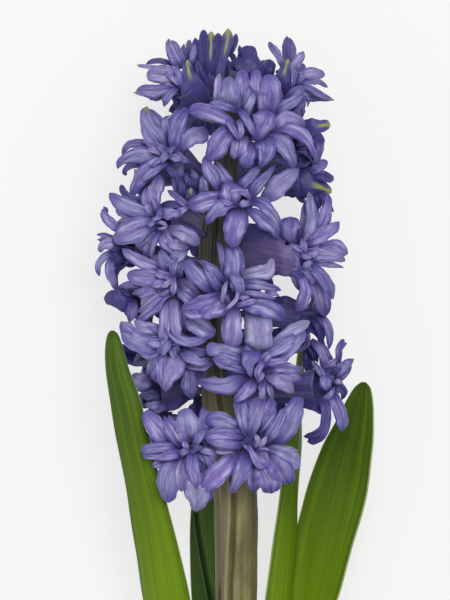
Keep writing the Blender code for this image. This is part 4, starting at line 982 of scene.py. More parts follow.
floret(
    "floret_far_left_1", (122, 251), 33.0, 262, (-1.0, 0.1, 0.1),
    [
        q((117, 240, 3, 3), (109, 237, 2.5, 3), (103, 235.2, 1.8, 2.6), (96.3, 234.8), z=(1, 3, 2, 0), rise=(0.3, 0.6), free=True, deep=0.2),
        q((112, 243, 3, 3), (105, 240.5, 3, 3), (97.3, 239.5), z=(0, 2, 0), deep=0.7, free=True),
        q((119, 243, 4, 4), (111, 243, 6, 5.5), (105, 244.5, 6, 5.5), (101, 249, 3, 3.5), (100.5, 252.5), z=(1, 4.8, 4, 2, 1), pale=0.6, blunt=0.5, rise=(0.2, 0.2), free=True),
        q((122, 239.5, 2, 2), (117, 240.5, 2.3, 2.3), (112, 241.5), z=(3, 5.6, 5), deep=1.5, free=True),
        q((115, 252, 3, 3), (107, 255.5, 3.6, 4), (100, 262, 3.6, 4), (98, 269, 2.6, 2.8), (99.6, 276.5), z=(0, 3, 2.8, 1.5, 0), rise=(0.5, 0.1), free=True),
        q((114, 257, 3, 3), (110, 266, 4.5, 5), (111, 275, 4.5, 5), (113.5, 283, 3.4, 3.6), (117, 291), z=(-1, 2.6, 2.0, 0.5, -1.5), pale=0.3, rise=(0.4, 0.1), free=True),
        q((129, 249, 5, 6), (120, 254, 9, 9), (115, 261, 6, 6), (112.5, 268), z=(-3, 1.8, 1.6, 0), deep=1.5, rise=(-0.35, -0.35), blunt=0.6, back=True, free=True),
        q((131, 256, 6, 8), (124, 262, 5, 6), (117.5, 270, 3, 3.5), (115.8, 280, 1.8, 2), (118.5, 289), z=(-4, -1, -0.5, -1, -2), deep=1.5, back=True, free=True),
        q((120, 250, 3, 3), (114, 248, 3, 3), (107, 249.5), z=(1, 3.6, 2.6), deep=0.4, free=True),
    ],
    reach=11.0, flare=3.8,
    dim=0.15,
)
floret(
    "floret_right_4", (302, 256), 46.0, 256, (0.6, 0.0, 0.8),
    [
        q((299, 243, 3, 3), (302, 230, 4, 3.5), (303.5, 215, 3.2, 3), (304.5, 202), z=(-4.5, -2, -4.5), deep=0.8),
        q((302, 242, 3, 4), (306.5, 231, 2.5, 8), (309, 219, 2.5, 8.5), (308, 207, 2.5, 7.5), (308.5, 199, 2.5, 4), (308.5, 192), z=(-3.8, 0.8, 0.4, -0.6, -3.5), pale=0.6, green=0.4, rise=(0.8, 0.2)),
        q((312, 236, 3, 3), (319, 226, 5, 5), (325, 214, 6, 5.5), (328, 203, 4.5, 4), (328, 193.5), z=(-4.5, -2, -3, -6)),
        q((303, 246, 4, 4), (313, 241, 6, 6), (323, 235, 7, 7), (331, 229, 5.5, 6.5), (339.5, 221.5), z=(-3.6, 1.0, 0.2, -4.5), rise=(0.55, 0.3), violet=0.6),
        q((313, 248, 3, 3), (326, 246, 5, 5), (336, 246.5, 7, 7.5), (343, 251, 5, 6), (348, 254), z=(-4.5, -1.6, -2.5, -6), violet=0.4),
        q((305, 254, 4, 4), (317, 254, 7, 6.5), (328, 255, 6.5, 7), (337, 257, 5, 5.5), (345.5, 261), z=(-3.6, 0.6, -0.5, -5), pale=0.45),
        q((309, 263, 2, 2), (322, 264, 2.3, 3), (333, 265, 2.2, 2.8), (344, 267.5), z=(-4, -1.0, -3, -6), rise=(0.5, 0)),
        q((304, 266, 4, 3), (312, 270, 7, 4.5), (320, 277, 8, 5), (326, 286, 7, 4.5), (331, 299.5), z=(-3.6, 1.2, 0.4, -4.5), rise=(0.1, 0.7), violet=0.5),
        q((303, 270, 2, 2), (306, 265, 3.5, 3.5), (313, 262), z=(0.5, 2.4, 0.4), pale=0.4, rise=(0.7, 0.2)),
        q((326, 275, 2, 2), (331, 286, 3.5, 3.5), (333, 300), z=(-5, -3.5, -7)),
        q((307, 272, 4, 4), (316, 285, 7, 7.5), (321, 297, 8.5, 9), (324, 308, 7, 7), (325, 317), z=(-5, -3, -4, -7.5), deep=0.45),
        q((300, 269, 3, 3), (303, 281, 4, 4.5), (305, 292, 6.5, 6.5), (302, 302, 6.5, 6.5), (296, 312), z=(-4, 0.4, -0.4, -4), pale=0.2),
        q((299, 262, 3, 3), (294, 268, 4, 5), (288, 265, 4, 4), (281, 258.5), z=(-2.5, 0.8, -0.5, -2.5), rise=(0.1, 0.4)),
        q((298, 265, 3, 3), (295.5, 276, 4.5, 4.5), (299, 291), z=(-4, -1.5, -4), deep=0.7),
        q((298, 271, 2, 2), (296, 260, 2.6, 2.6), (287.5, 250), z=(0.4, 2.0, -0.5), rise=(0.2, 0.7)),
        q((294.5, 246, 3, 3), (291, 237, 7, 6), (289, 228, 10, 10.5), (290, 221, 8.5, 9), (290, 217), z=(-3.5, -0.6, -2.5), red=1.0, violet=0.9, blunt=0.45, rise=(0.1, 0.1)),
        q((304, 254, 2, 2), (298, 249, 3, 3), (287.5, 245), z=(0.8, 2.6, 0.6), rise=(0.1, 0.6)),
        q((299, 255, 2, 2), (305, 257, 3, 3), (313.5, 257), z=(0.6, 2.6, 1.0), deep=0.3, rise=(0.3, 0.7)),
        q((303, 256, 3, 3), (303, 246, 3.8, 3.8), (301, 238), z=(0.2, 2.2, 0.4), deep=0.2),
        q((301, 262, 2, 2), (299, 256, 2.5, 2.5), (301, 250), z=(-0.5, 0.6, -0.5), deep=1.0),
        q((240, 240, 14, 9), (255, 237.5, 13.5, 11), (270, 240, 8, 10), (284, 244), z=(-9, -3, 0, 1), deep=1.0, red=1.6, rise=(-0.3, -0.3), lobe=0.0, curl=(0, 0), ruffle=0.05, back=True, free=True),
        q((240, 252, 15, 15), (256, 252.5, 15, 16), (272, 255, 15, 19), (286, 258, 14, 19), (299, 262), z=(-9, -2, 2.2, 4.2, 2), red=3.6, pale=1.0, rise=(-0.3, -0.3), lobe=0.0, curl=(0, 0), ruffle=0.05, blunt=0.5, back=True, free=True),
        q((272, 268, 7, 7), (284, 268, 8, 8), (296, 272, 6, 8), (302, 280), z=(-4, 1, 1, -1), deep=1.0, red=1.0, rise=(-0.3, -0.3), ruffle=0.1, back=True, free=True),
    ],
    dim=0.15,
    flare=5.2, girth=1.35, red=1.0,
)
floret(
    "floret_left_4", (174, 282), 49.5, 294, (-0.4, 0.0, 0.9),
    [
        q((166, 270, 3, 3), (154, 265.5, 5, 4), (142, 261, 7.5, 5), (132, 256, 5.5, 5), (122.5, 248.5), z=(-4, 0.6, -0.3, -4), rise=(0.1, 0.55), pale=0.3),
        q((168, 276, 5, 5), (156, 278, 9, 9.5), (145, 277, 9.5, 9), (135, 276, 7.5, 7), (127, 275), z=(-3.8, 0.8, 0, -4), violet=0.8, rise=(0.15, 0.15), blunt=0.55),
        q((152, 286, 3, 3), (142, 284.5, 3.5, 3.5), (130, 284, 4, 3), (119, 286), z=(-5, -3, -6), deep=0.7),
        q((166, 286, 3, 4), (152, 289, 4, 4), (142, 291, 3.7, 3.5), (132, 294), z=(-4, -0.6, -1.5, -5)),
        q((164, 292, 3, 3), (153, 297, 5, 4.5), (146, 301, 4.5, 4), (141, 305.5), z=(-4.5, -1, -2, -4.5), pale=0.9, green=0.2),
        q((169, 290, 3, 3), (158, 298, 4.5, 4.5), (150, 304, 5, 4.5), (144, 308, 4, 3), (138.5, 312), z=(-3.5, 0.9, 0, -3.5), violet=0.8),
        q((168, 296, 3, 3), (158, 306, 5.5, 5), (150, 312, 5.5, 5.5), (143, 317, 4, 3.5), (137.5, 320), z=(-4, 0, -1, -4), deep=0.2, violet=0.6),
        q((169, 297, 4, 4), (167.5, 310, 6, 7), (166, 325, 6.5, 6.5), (164, 338, 5, 5), (162, 352), z=(-4, 0, -0.8, -3.5), pale=0.4),
        q((174, 299, 5, 5), (175, 313, 5.5, 5.5), (176, 325, 5.5, 5.5), (179, 340), z=(-3, 1.2, -0.5), pale=0.5, violet=0.6, rise=(0.1, 0.35)),
        q((180, 301, 3, 3), (183, 316, 4, 4), (186, 331), z=(-3.5, -0.4, -2.5), deep=0.9),
        q((167, 316, 4, 4), (170, 329, 5, 5), (178, 338, 5.5, 5.5), (190, 342, 5, 4.5), (200, 340.5, 4, 3.5), (209, 336.5), z=(-4, -0.6, 0, 0, -2), rise=(-0.25, 0.7)),
        q((183, 309, 4, 5), (193, 320, 8.5, 8.5), (203, 327, 9.5, 11), (210, 332, 6.5, 7.5), (215, 335), z=(-4, -1, -1.8, -4), pale=0.35, violet=0.4, blunt=0.5),
        q((177, 281, 3, 3), (186, 284, 6.5, 6.5), (193, 291, 7, 6.5), (197, 299.5), z=(-4, -0.6, -3), violet=0.9),
        q((176, 286, 3, 3), (183, 294, 4, 5), (190, 301, 4.5, 5), (197, 309), z=(-3, 1.0, -2.5), rise=(0.5, 0.1)),
        q((168, 270, 4, 4), (174, 261, 6.5, 6), (181, 255, 6, 5.5), (188.5, 250.5), z=(-4.5, -1.4, -4.5), pale=0.4),
        q((164, 271, 1.5, 1.5), (170, 264, 2, 2.2), (178.5, 258), z=(-1.5, 1.4, -1), rise=(0.6, 0.1)),
        q((173, 279, 3, 3), (174, 268, 4.2, 4.2), (177.5, 258.5), z=(-3, 0.9, -2), red=0.3, violet=0.6),
        q((180, 280, 3, 3), (181, 269, 4, 4), (184, 259), z=(-4, -0.4, -3), deep=0.7),
        q((167, 284, 3, 3), (158, 284, 4.5, 4.5), (150.5, 285), z=(0, 2.4, 0.8), rise=(0.05, 0.05), blunt=0.5, violet=0.5),
        q((173, 279, 2, 2), (167, 284, 3, 3), (161, 288.5), z=(0.8, 3.0, 1.2), pale=0.7),
        q((174, 277, 2, 2), (174, 287, 3.7, 3.7), (173, 296), z=(0.5, 2.4, 0.8)),
        q((173, 289, 2, 2), (165, 293, 2.2, 2.2), (157.5, 297.5), z=(0, 2.0, 0), rise=(0.1, 0.7)),
        p(139, 296, 9, 165, 288, 0.9, tz=-3.0, deep=0.3),
    ],
)
floret(
    "floret_far_left_2", (130, 299), 33.5, 312, (-1.0, 0.05, 0.12),
    [
        q((141, 298, 11, 10), (128, 299, 11.5, 11), (118, 299, 10.5, 11), (110, 298.5, 7, 8), (103.8, 298), z=(0, 3.4, 4, 2.8, 1), deep=1.5, rise=(-0.35, -0.35), lobe=0.03, curl=(0, 0), back=True, free=True),
        q((152, 290, 4, 5), (139, 287, 5, 5), (127, 286.5, 4.5, 4.5), (117, 288), z=(0, 3.4, 3, 1), deep=0.35, free=True),
        q((136, 294, 3, 3), (129, 293, 3, 3), (120, 291), z=(2, 4.8, 4), deep=1.5, free=True),
        q((133, 300, 5, 6), (132.5, 311, 5.5, 6), (129, 323), z=(2, 4.6, 1), deep=0.35, violet=0.4, free=True),
        q((141, 298, 4, 4), (140, 309, 3.5, 3.5), (139, 321), z=(-1, 1, -1), deep=1.5, free=True),
    ],
    reach=10.0, flare=4.2,
    dim=0.15,
)
floret(
    "floret_left_5", (170, 345), 47.5, 348, (-0.35, -0.12, 0.9),
    [
        q((164, 331, 4, 4), (153, 329, 6.5, 6.5), (143, 326, 6, 5.5), (134, 320.5), z=(-4.5, -1.4, -3.5), pale=0.7, rise=(0.1, 0.1)),
        q((164, 344, 4, 6), (150, 345, 10, 9.5), (138, 341, 11, 9), (129, 334, 8, 8.5), (124, 327, 4.5, 5), (121.5, 321), z=(-4.2, 0, -0.5, -2, -6), rise=(0.05, 0.55), lobe=0.05, red=0.3, pale=0.25),
        q((137, 333, 4, 3), (129, 327, 4.5, 4.5), (120.5, 322.5), z=(-2.5, -1.2, -5), violet=0.4),
        # A dark sheet low under the floret: painted shade in the hollow below its left petals.
        q((160, 350, 6, 6), (146, 357, 9, 9), (133, 364), z=(-9, -9, -12), deep=1.0),
        q((160, 348, 2, 3), (155.5, 358, 3.5, 4.5), (151, 368, 3.5, 4.5), (147, 375), z=(-4.5, -2.5, -5), red=0.5),
        q((184, 350, 5, 6), (178.5, 361, 8.5, 9), (172.5, 372, 9, 9), (168.5, 380, 6.5, 6.5), (165, 391.5), z=(-4.2, 0.8, 0.8, -3.0), violet=0.3, pale=0.35, rise=(0.45, 0.1), lobe=0.15, curl=(-0.2, -0.3), blunt=0.9),
        q((168, 352, 4, 5), (162, 362, 6, 6), (158, 373, 5.5, 6), (157, 383), z=(-4.6, -0.8, -1.4, -4), deep=0.3, rise=(0.2, 0.4)),
        q((163, 352, 2, 5), (160, 365, 2.5, 5), (161, 378, 3, 4), (164.5, 389), z=(-3.5, 0.6, 0, -3), rise=(0.6, 0.05)),
        q((180, 349, 4, 4), (190, 357, 5.5, 5.5), (200, 361, 4, 4.5), (211, 358), z=(-3, 0.8, 0.4, -2.5), rise=(-0.1, 0.6)),
        q((184, 347, 3, 3), (196, 351, 5, 6), (209, 351), z=(-4, -1.6, -3.5), deep=0.8),
        q((180, 358, 4, 4), (192, 365, 5, 4.5), (203, 366, 4, 4.5), (214, 362), z=(-4.5, -2, -4.5), pale=0.2),
        q((186, 362, 3, 3), (189, 374, 6.5, 6), (190.5, 386, 7.5, 8.5), (192, 399.5), z=(-5, -3, -4, -7), deep=0.5),
        q((196, 366, 3, 3), (202, 372, 5, 5), (196, 384), z=(-8, -6, -9), deep=1.0),
        q((172, 338, 1.5, 2), (167, 348, 3, 3.5), (160.5, 357.5), z=(0.2, 2.0, 0), rise=(0.7, 0.1)),
        q((170, 338, 3, 3), (163, 346, 4, 4), (158, 356), z=(-2, 0.6, -1.5), deep=0.3),
        q((172, 341, 2, 3), (177, 347, 3, 4), (175, 357), z=(-1.5, 0.6, -1), deep=0.9),
        q((169, 346, 2, 2), (173, 353, 3.5, 3.5), (176, 361), z=(-0.5, 1.6, 0), deep=0.3),
        p(180, 343, 9, 172, 348, 1.2, tz=0.0, cup=(1.0, 0.7)),
        p(160, 337, 8, 170, 345, 1.0, tz=-0.5, cup=(1.0, 0.7)),
    ],
)
floret(
    "floret_right_5", (310, 322), 31.5, 314, (0.95, -0.25, 0.0),
    [
        q((260, 336, 6, 6), (271, 336, 7, 8), (284, 333, 6, 6), (295, 329), z=(-9, -6, -6, -8), deep=1.4, back=True, free=True),
        q((302, 320, 5, 4), (310, 325.5, 6, 5), (318, 331.5, 5, 5.5), (324, 341), z=(-3, 0, 0, -1), deep=1.5, back=True, free=True),
        q((303, 340, 4, 4), (309, 350, 6, 7), (310, 363, 5, 7), (308, 376), z=(-8, -5, -5, -7), deep=1.6, back=True, free=True),
        q((258, 312, 13, 13), (278, 313, 16, 14), (293, 312, 14, 12), (307, 313, 10, 10), (318, 317, 6, 8), (324, 322), z=(-6, -1, 0, 0, -1), deep=1.2, red=0.2, rise=(-0.35, -0.35), lobe=0.0, curl=(0, 0), back=True, free=True),
        q((317, 315, 4, 4), (325, 321, 4, 5), (329.5, 330, 3.5, 5), (330.5, 339, 3, 4), (329, 349.5), z=(-1, 2.8, 3, 2, 0), deep=0.15, rise=(0.4, 0.1), free=True),
        q((309, 319, 4, 4), (317, 323, 6, 5), (321.5, 331, 5, 5), (321.5, 341, 3, 3.5), (326, 349), z=(0, 2.4, 2, 0.5, -1), deep=1.3, free=True),
        q((311, 341, 3, 3), (318, 346.5, 5, 4.5), (324.5, 355, 6.5, 6.5), (326, 363, 5, 6), (323, 371), z=(-2, 2, 2.4, 1, -1), pale=0.35, rise=(0.2, 0.2), free=True),
        q((308, 341, 3, 3), (313, 350, 4.5, 4.5), (318, 363), z=(-4, -1, -2), deep=1.5, free=True),
    ],
    reach=12.5, flare=5.0, girth=1.15,
    dim=0.2,
)
floret(
    "floret_right_6", (328, 386), 36.5, 400, (1.0, -0.05, 0.3),
    [
        q((262, 394, 8, 8), (285, 394, 11, 10), (300, 391, 16, 17), (312, 390, 16, 17), (323, 388, 10, 12), (331, 387), z=(-6, -3, -1, -0.5, 0, 0), deep=1.3, blunt=0.6, rise=(-0.3, -0.3), lobe=0.0, curl=(0, 0), back=True, free=True),
        q((338, 365, 3, 3), (338.5, 355, 3.3, 3.3), (339.8, 346, 3.5, 3.5), (343.8, 339), z=(0, 3, 3, 1.5), deep=0.7, blunt=0.45, free=True),
        q((340, 350, 2, 2), (343, 345, 2.4, 2.4), (346.8, 342.8), z=(0.5, 2.4, 1), deep=0.85, free=True),
        q((321, 367, 3, 3), (330, 363.5, 3.5, 3.8), (338, 358), z=(1, 3.2, 2.4), deep=0.2, free=True),
        q((330, 376, 4, 5), (339, 370, 6.5, 6), (346, 364.5, 4.6, 4.2), (353.6, 358.6), z=(1, 5, 4.4, 2), deep=0.2, rise=(0.5, 0.1), free=True),
        q((333, 379, 3, 3), (341, 376, 4.5, 4.5), (347, 370.5, 3, 3), (351, 362), z=(0, 3, 2.4, 0.5), deep=0.7, free=True),
        q((330, 374, 2, 2), (336, 371, 2.4, 2.4), (342, 367), z=(4, 6.4, 5), deep=1.3, rise=(0.1, 0.5), free=True),
        q((329, 386, 4, 4), (338, 386, 5, 6), (343.5, 390, 3.5, 5), (341.5, 400), z=(1, 4.2, 3.4, 1), deep=1.05, free=True),
        q((331, 391, 4, 5), (335, 401, 6.5, 6.5), (339, 411, 7, 6.5), (341.5, 421, 6, 6), (342, 431.5), z=(1, 5.5, 5, 3.5, 1), pale=0.2, rise=(0.1, 0.5), free=True),
        q((316, 396, 4, 5), (324, 404, 5, 5), (326.5, 414, 4.5, 6), (325.5, 424, 5, 5.5), (321, 433, 6, 5), (313, 438.5, 5.5, 4.5), (308, 441), z=(0, 4.5, 5, 5, 4.6, 3.6, 2.6), deep=0.85, rise=(0.6, 0.3), tooth=0.4, free=True),
        q((322, 428, 4, 3), (315, 433, 4, 3), (309, 435.2, 3, 2.4), (303.3, 436.3), z=(4, 4.6, 4, 3), deep=1.35, free=True),
        q((303, 402, 7, 6), (314, 405, 7, 6), (323, 410, 4, 5), (327, 420), z=(-2, 1, 2, 3), deep=1.2, back=True, free=True),
        q((326, 373, 4, 4), (325, 382, 6.5, 6), (327.5, 390), z=(4, 7, 6), violet=0.4, blunt=0.45, rise=(0.3, 0.3), free=True),
        q((327, 383, 3, 3), (321.5, 374, 3.6, 3.8), (316, 366, 3, 3), (311.5, 361), z=(2, 5.4, 4.6, 3), green=1.4, deep=0.2, free=True),
        q((319, 402, 2, 2), (326, 398.5, 3.5, 3), (331, 393, 3, 3), (334, 387), z=(0, 4.4, 5.4, 5), rise=(0.1, 0.7), free=True),
        q((333, 383, 2, 2), (337, 381.5, 2.8, 2.8), (343, 383), z=(4, 6.4, 5), rise=(0.6, 0.1), free=True),
        q((328, 368, 3, 3), (330, 375, 3.4, 3.4), (334, 383), z=(2, 4.4, 4), deep=0.85, free=True),
    ],
    reach=13.0, flare=5.0, girth=1.15,
    dim=0.2,
)
floret(
    "floret_left_6", (188, 447), 50.5, 441, (-0.3, -0.1, 0.95),
    [
        q((173, 445, 3, 4), (164, 434, 10, 6), (156, 424, 12, 8), (149.5, 416, 7, 6.5), (147, 409.5), z=(-4, 0, -0.6, -4), violet=0.5, rise=(0.15, 0.35), lobe=0.2, pale=0.2, blunt=0.5),
        q((182, 447, 3, 3), (175, 437, 5.5, 4.5), (169, 426, 5.5, 4.5), (164.5, 415.5), z=(-3.5, 1.2, -1.5), rise=(0.4, 0.4)),
        q((188, 447, 3, 3), (181.5, 436, 4.5, 5.5), (175, 426, 4.5, 4.5), (169, 414.5), z=(-3.5, 0.6, -2.5), rise=(0.5, 0.2)),
        q((190, 443, 5, 5), (188.5, 431, 11.5, 13), (187, 420, 11.5, 12), (186, 413, 7.5, 8), (185.5, 407.5), z=(-4.5, -1.2, -1.8, -4), pale=0.5, blunt=0.5, rise=(0.1, 0.1)),
        q((194, 441, 3, 4), (201, 428, 7, 8), (205, 417, 7, 7), (202, 407), z=(-5, -2.4, -4.5), violet=0.5),
        q((193, 447.5, 2.5, 2.5), (198.5, 438, 4.5, 4.2), (207.5, 426.5), z=(-2.5, 0.9, -2)),
        q((179, 446, 3, 3), (166, 446, 4.5, 5), (154, 447.5, 5, 5.3), (145, 449, 4.5, 4.5), (141, 451), z=(-3.5, 0.9, 0, -3.5), lobe=0.25),
        q((185, 451, 3, 3), (172, 454, 5, 5), (160, 456.5, 3, 4), (150, 456, 3, 3), (142, 454.5), z=(-3.8, 0.2, -0.4, -4), rise=(0.2, 0.6)),
        q((167, 460, 2, 3), (158, 463, 4.5, 4.5), (152, 466.5), z=(-4.5, -2.5, -5)),
        q((181, 456, 4, 4), (172.5, 468, 12.5, 10.5), (169, 480, 14.5, 12), (168.5, 491, 10, 8.5), (168, 501.5), z=(-4.8, -1.6, -2.2, -5), pale=0.3, red=0.4, rise=(0.1, 0.1), tooth=0.3, blunt=0.55),
        q((184, 457, 2, 3), (181, 470, 4.5, 5.5), (181, 482, 3.5, 5.5), (182, 491), z=(-4, -0.4, -3), pale=0.5),
        q((188, 454, 2, 2), (186, 468, 3.5, 3.5), (187, 483, 3.5, 4), (186.5, 498), z=(-3.5, 0.4, -0.6, -3.5), violet=0.5),
        q((191, 451, 3, 3), (190, 462, 3.7, 3.7), (193, 474, 4.2, 4), (197.5, 488), z=(-1.5, 2.0, -0.5), rise=(0.3, 0.5)),
        q((195, 451, 2, 2), (196.5, 464, 2.5, 2.8), (199, 478, 2.4, 2.4), (200.5, 489), z=(-1.5, 2.2, 1.0, -1)),
        q((195, 466, 5, 5), (196.5, 482, 10, 10.5), (197.5, 493, 13, 12), (197, 502, 8.5, 8), (196, 510), z=(-4, -0.5, -1.2, -3.5), pale=0.7, green=0.2, rise=(0.12, 0.12), tooth=0.5),
        q((199, 460, 3, 3), (204, 476, 5.5, 4.5), (208, 488, 6.5, 6.5), (210, 501), z=(-4.5, -2, -5), deep=0.3),
        q((196, 449, 3, 3), (201.5, 463, 4.5, 4.5), (205, 479), z=(-4.5, -1.8, -4.5), deep=1.0),
        q((199, 447, 3, 3), (207, 454, 4.5, 4.5), (211, 464, 4, 4.2), (208, 474), z=(-3.8, -0.4, -3), deep=0.5),
        q((196, 447, 2, 2), (206, 450, 3.5, 3.5), (213, 452.5, 3.2, 3.2), (217.5, 458), z=(-2.5, 0.6, -0.5, -3)),
        p(217, 464, 11, 196, 450, 0.0, tz=-5.5, green=0.4),
        p(203, 446, 9, 190, 448, 1.2, tz=0.0, cup=(1.0, 0.7), deep=0.8),
        q((190, 449, 2, 2), (184, 451, 3.5, 3.5), (178, 451), z=(0, 1.4, -0.5), deep=0.4),
        q((187, 450, 2, 2), (186, 445, 3, 3), (182, 439), z=(-0.5, 1.6, 0)),
    ],
)
floret(
    "floret_far_left_3", (148, 389), 31.0, 392, (-1.0, -0.15, 0.1),
    [
        q((203, 424, 6, 6), (199, 410, 7, 7), (197, 392), z=(-9, -7, -8), deep=1.6, back=True, free=True),
        q((197, 391, 8, 8), (184, 393, 9, 10), (172, 398, 13, 11), (160, 398, 14, 12), (149, 397, 9, 9), (139, 395), z=(-5, -1, 0, 0, -1), deep=1.2, rise=(-0.35, -0.35), lobe=0.0, curl=(0, 0), back=True, free=True),
        q((155, 380, 4, 4), (149, 380, 8, 7.5), (142, 381, 8.5, 9), (137, 378.5, 6, 6), (133, 373.5), z=(0, 3.2, 3, 1.6, 0), pale=0.35, blunt=0.45, free=True),
        q((154, 383, 2, 2), (152, 377, 2.5, 2.5), (147, 372), z=(1, 4.4, 3), violet=0.6, rise=(0.6, 0.2), free=True),
        q((162, 394, 5, 5), (151, 395.5, 5.5, 5), (140, 394.5), z=(1, 3, 1), deep=0.85, free=True),
        q((162, 403, 3, 3), (154, 405.5, 4.5, 4.5), (144.5, 405), z=(1, 4, 1), deep=0.15, blunt=0.5, free=True),
        q((163, 402, 3, 3), (161, 408, 4, 4), (153, 411.5), z=(0, 3.4, 0), deep=0.85, free=True),
        q((158, 360, 7, 8), (145, 357, 9.5, 9.5), (133, 356, 10.5, 10), (122, 352, 8, 8), (114, 346), z=(-5, -3, -3, -3, -4), deep=1.5, back=True, free=True),
    ],
    reach=11.5, flare=5.0, girth=1.1,
)

BACK_FLORETS = {
    "floret_back_01": (205, 103, 7.4, 118, (-0.30, 0.30, -1.0), 12.5),
    "floret_back_02": (262, 108, 7.4, 122, (0.35, 0.25, -1.0), 12.5),
    "floret_back_03": (228, 163, 6.3, 165, (0.02, 0.05, -1.0), 13.5),
    "floret_back_04": (150, 172, 20.0, 184, (-1.0, 0.10, -0.55), 12.5),
    "floret_back_05": (292, 170, 18.5, 180, (1.0, 0.08, -0.60), 12.5),
    "floret_back_06": (188, 222, 7.3, 226, (-0.25, 0.05, -1.0), 13.5),
    "floret_back_07": (250, 264, 7.3, 266, (0.30, -0.03, -1.0), 13.5),
    "floret_back_08": (147, 298, 14.5, 300, (-0.90, 0.00, -0.85), 12.5),
    "floret_back_09": (211, 296, 6.2, 298, (-0.02, 0.00, -1.0), 13.5),
    "floret_back_10": (288, 246, 15.5, 250, (1.0, 0.00, -0.80), 12.5),
    "floret_back_11": (178, 357, 7.3, 358, (-0.30, -0.05, -1.0), 13.5),
    "floret_back_12": (252, 360, 7.3, 362, (0.30, -0.05, -1.0), 13.5),
    "floret_back_13": (220, 428, 6.3, 424, (0.00, -0.05, -1.0), 12.5),
    "floret_back_14": (160, 432, 20.0, 424, (-1.0, -0.10, -0.55), 12.5),
    "floret_back_15": (272, 430, 13.0, 428, (0.70, -0.10, -0.90), 11.5),
}


# Openings that run right through the spike (centre and half sizes), and how far it reaches to each side.
OPENINGS = [
    (289, 209, 16, 13), (285, 285, 13, 10), (122, 274, 7, 10), (168, 189, 6, 12),
    (199, 153, 6, 5), (174, 416, 4, 3), (180, 410, 5, 4), (187, 403, 4, 4), (311, 422, 9, 11), (294, 361, 4, 6),
    (223, 159, 4, 4), (189, 221, 5, 3), (189, 256, 4, 3), (151, 182, 3, 3),
    (144, 188, 3, 3), (138, 194, 3, 3), (139, 368, 7, 2), (313, 335, 5, 3),
    (309.5, 371.5, 2, 2.6), (130, 171, 3, 3), (131, 216, 3, 3), (252, 222, 2, 2),
]
REACH = [
    (60, 190, 272), (76, 165, 320), (90, 135, 320), (102, 159, 320), (114, 139, 304),
    (126, 139, 330), (138, 142, 324), (150, 124, 323), (162, 116, 327), (174, 123, 332),
    (186, 119, 328), (198, 110, 329), (210, 103, 333), (222, 102, 335), (234, 97, 334),
    (246, 100, 345), (258, 99, 344), (270, 96, 328), (282, 109, 332), (294, 105, 332),
    (306, 111, 329), (318, 126, 325), (330, 109, 331), (342, 112, 346), (354, 118, 342),
    (366, 132, 349), (378, 133, 345), (390, 132, 344), (402, 140, 340), (414, 142, 340),
    (426, 142, 338), (438, 142, 320), (450, 142, 300), (462, 150, 298), (480, 158, 286),
    (500, 164, 214), (508, 175, 200),
]


def is_open(point, margin=1.5):
    """Whether a point, seen from above, is in an opening or past the spike's edge."""
    u = PLAN_U + (point[0] - MIDDLE[0]) / UNIT
    v = PLAN_V - (point[1] - MIDDLE[1]) / UNIT
    for a, b, wide, tall in OPENINGS:
        if ((u - a) / (wide + margin)) ** 2 + ((v - b) / (tall + margin)) ** 2 < 1:
            return True
    rows = np.array(REACH, float)
    left, right = (np.interp(v, rows[:, 0], rows[:, k]) for k in (1, 2))
    return not (rows[0, 0] < v < rows[-1, 0] and left + margin < u < right - margin)


def free_length(base, d, far, half):
    """How much of far a petal can reach from base along d and stay out of the openings."""
    side = unit(np.cross(d, UP)) if abs(d[2]) < 0.95 else np.array([1.0, 0.0, 0.0])
    reach = far
    while reach > 0.3 * far:
        spots = [
            base + d * (k * reach) + side * (w * half)
            for k, w in ((1.0, 0), (0.75, -0.8), (0.75, 0.8), (0.5, -1), (0.5, 1), (0.25, 0))
        ]
        if not any(is_open(spot) for spot in spots):
            return reach
        reach -= 0.1 * far
    return 0.0


def whorl(shape, mouth, facing, reach, rng, wanted, steps=(14, 9), floor=0.25):
    """Petals set out round a floret's axis: an outer whorl, an inner one and curled ones in the throat. wanted(direction) says which to make."""
    facing = unit(facing)
    side = unit(np.cross(facing, UP if abs(facing[2]) < 0.9 else [0, 1, 0]))
    up = np.cross(facing, side)
    turn = rng.uniform(0, 1)
    for count, length, width, offset, level in (
        (6, 1.0, 5.9, 0.0, 0.0),
        (6, 0.86, 4.9, 0.5, 1.0),
        (4, 0.5, 3.2, 0.2, 2.2),
    ):
        for k in range(count):
            a = 2 * math.pi * (k + offset + turn + rng.uniform(-0.12, 0.12)) / count
            d = math.cos(a) * side + math.sin(a) * up
            if not wanted(d, level):
                continue
            far = free_length(mouth, d, reach * length * rng.uniform(0.88, 1.06), 0.5 * width)
            if far < 3.0:
                continue
            base = mouth - facing * 4.3 + d * (3.4 - 0.6 * level)
            lift = -1.4 + 1.7 * level
            knee = mouth + d * (0.42 * far) + facing * (lift + 1.6)
            over = mouth + d * (0.86 * far) + facing * (lift + 1.4)
            tip = mouth + d * far + facing * (lift - rng.uniform(1.5, 4.5))
            petal(
                shape,
                (base, knee, over, tip),
                width * rng.uniform(0.85, 1.12),
                facing + 0.25 * d,
                rng,
                cup=(rng.uniform(0.25, 0.7), rng.uniform(-0.6, 0.3)) if level < 2 else (1.1, 0.8),
                roll=rng.uniform(-14, 14),
                blunt=rng.uniform(0.5, 0.8),
                steps=steps,
                floor=floor,
            )


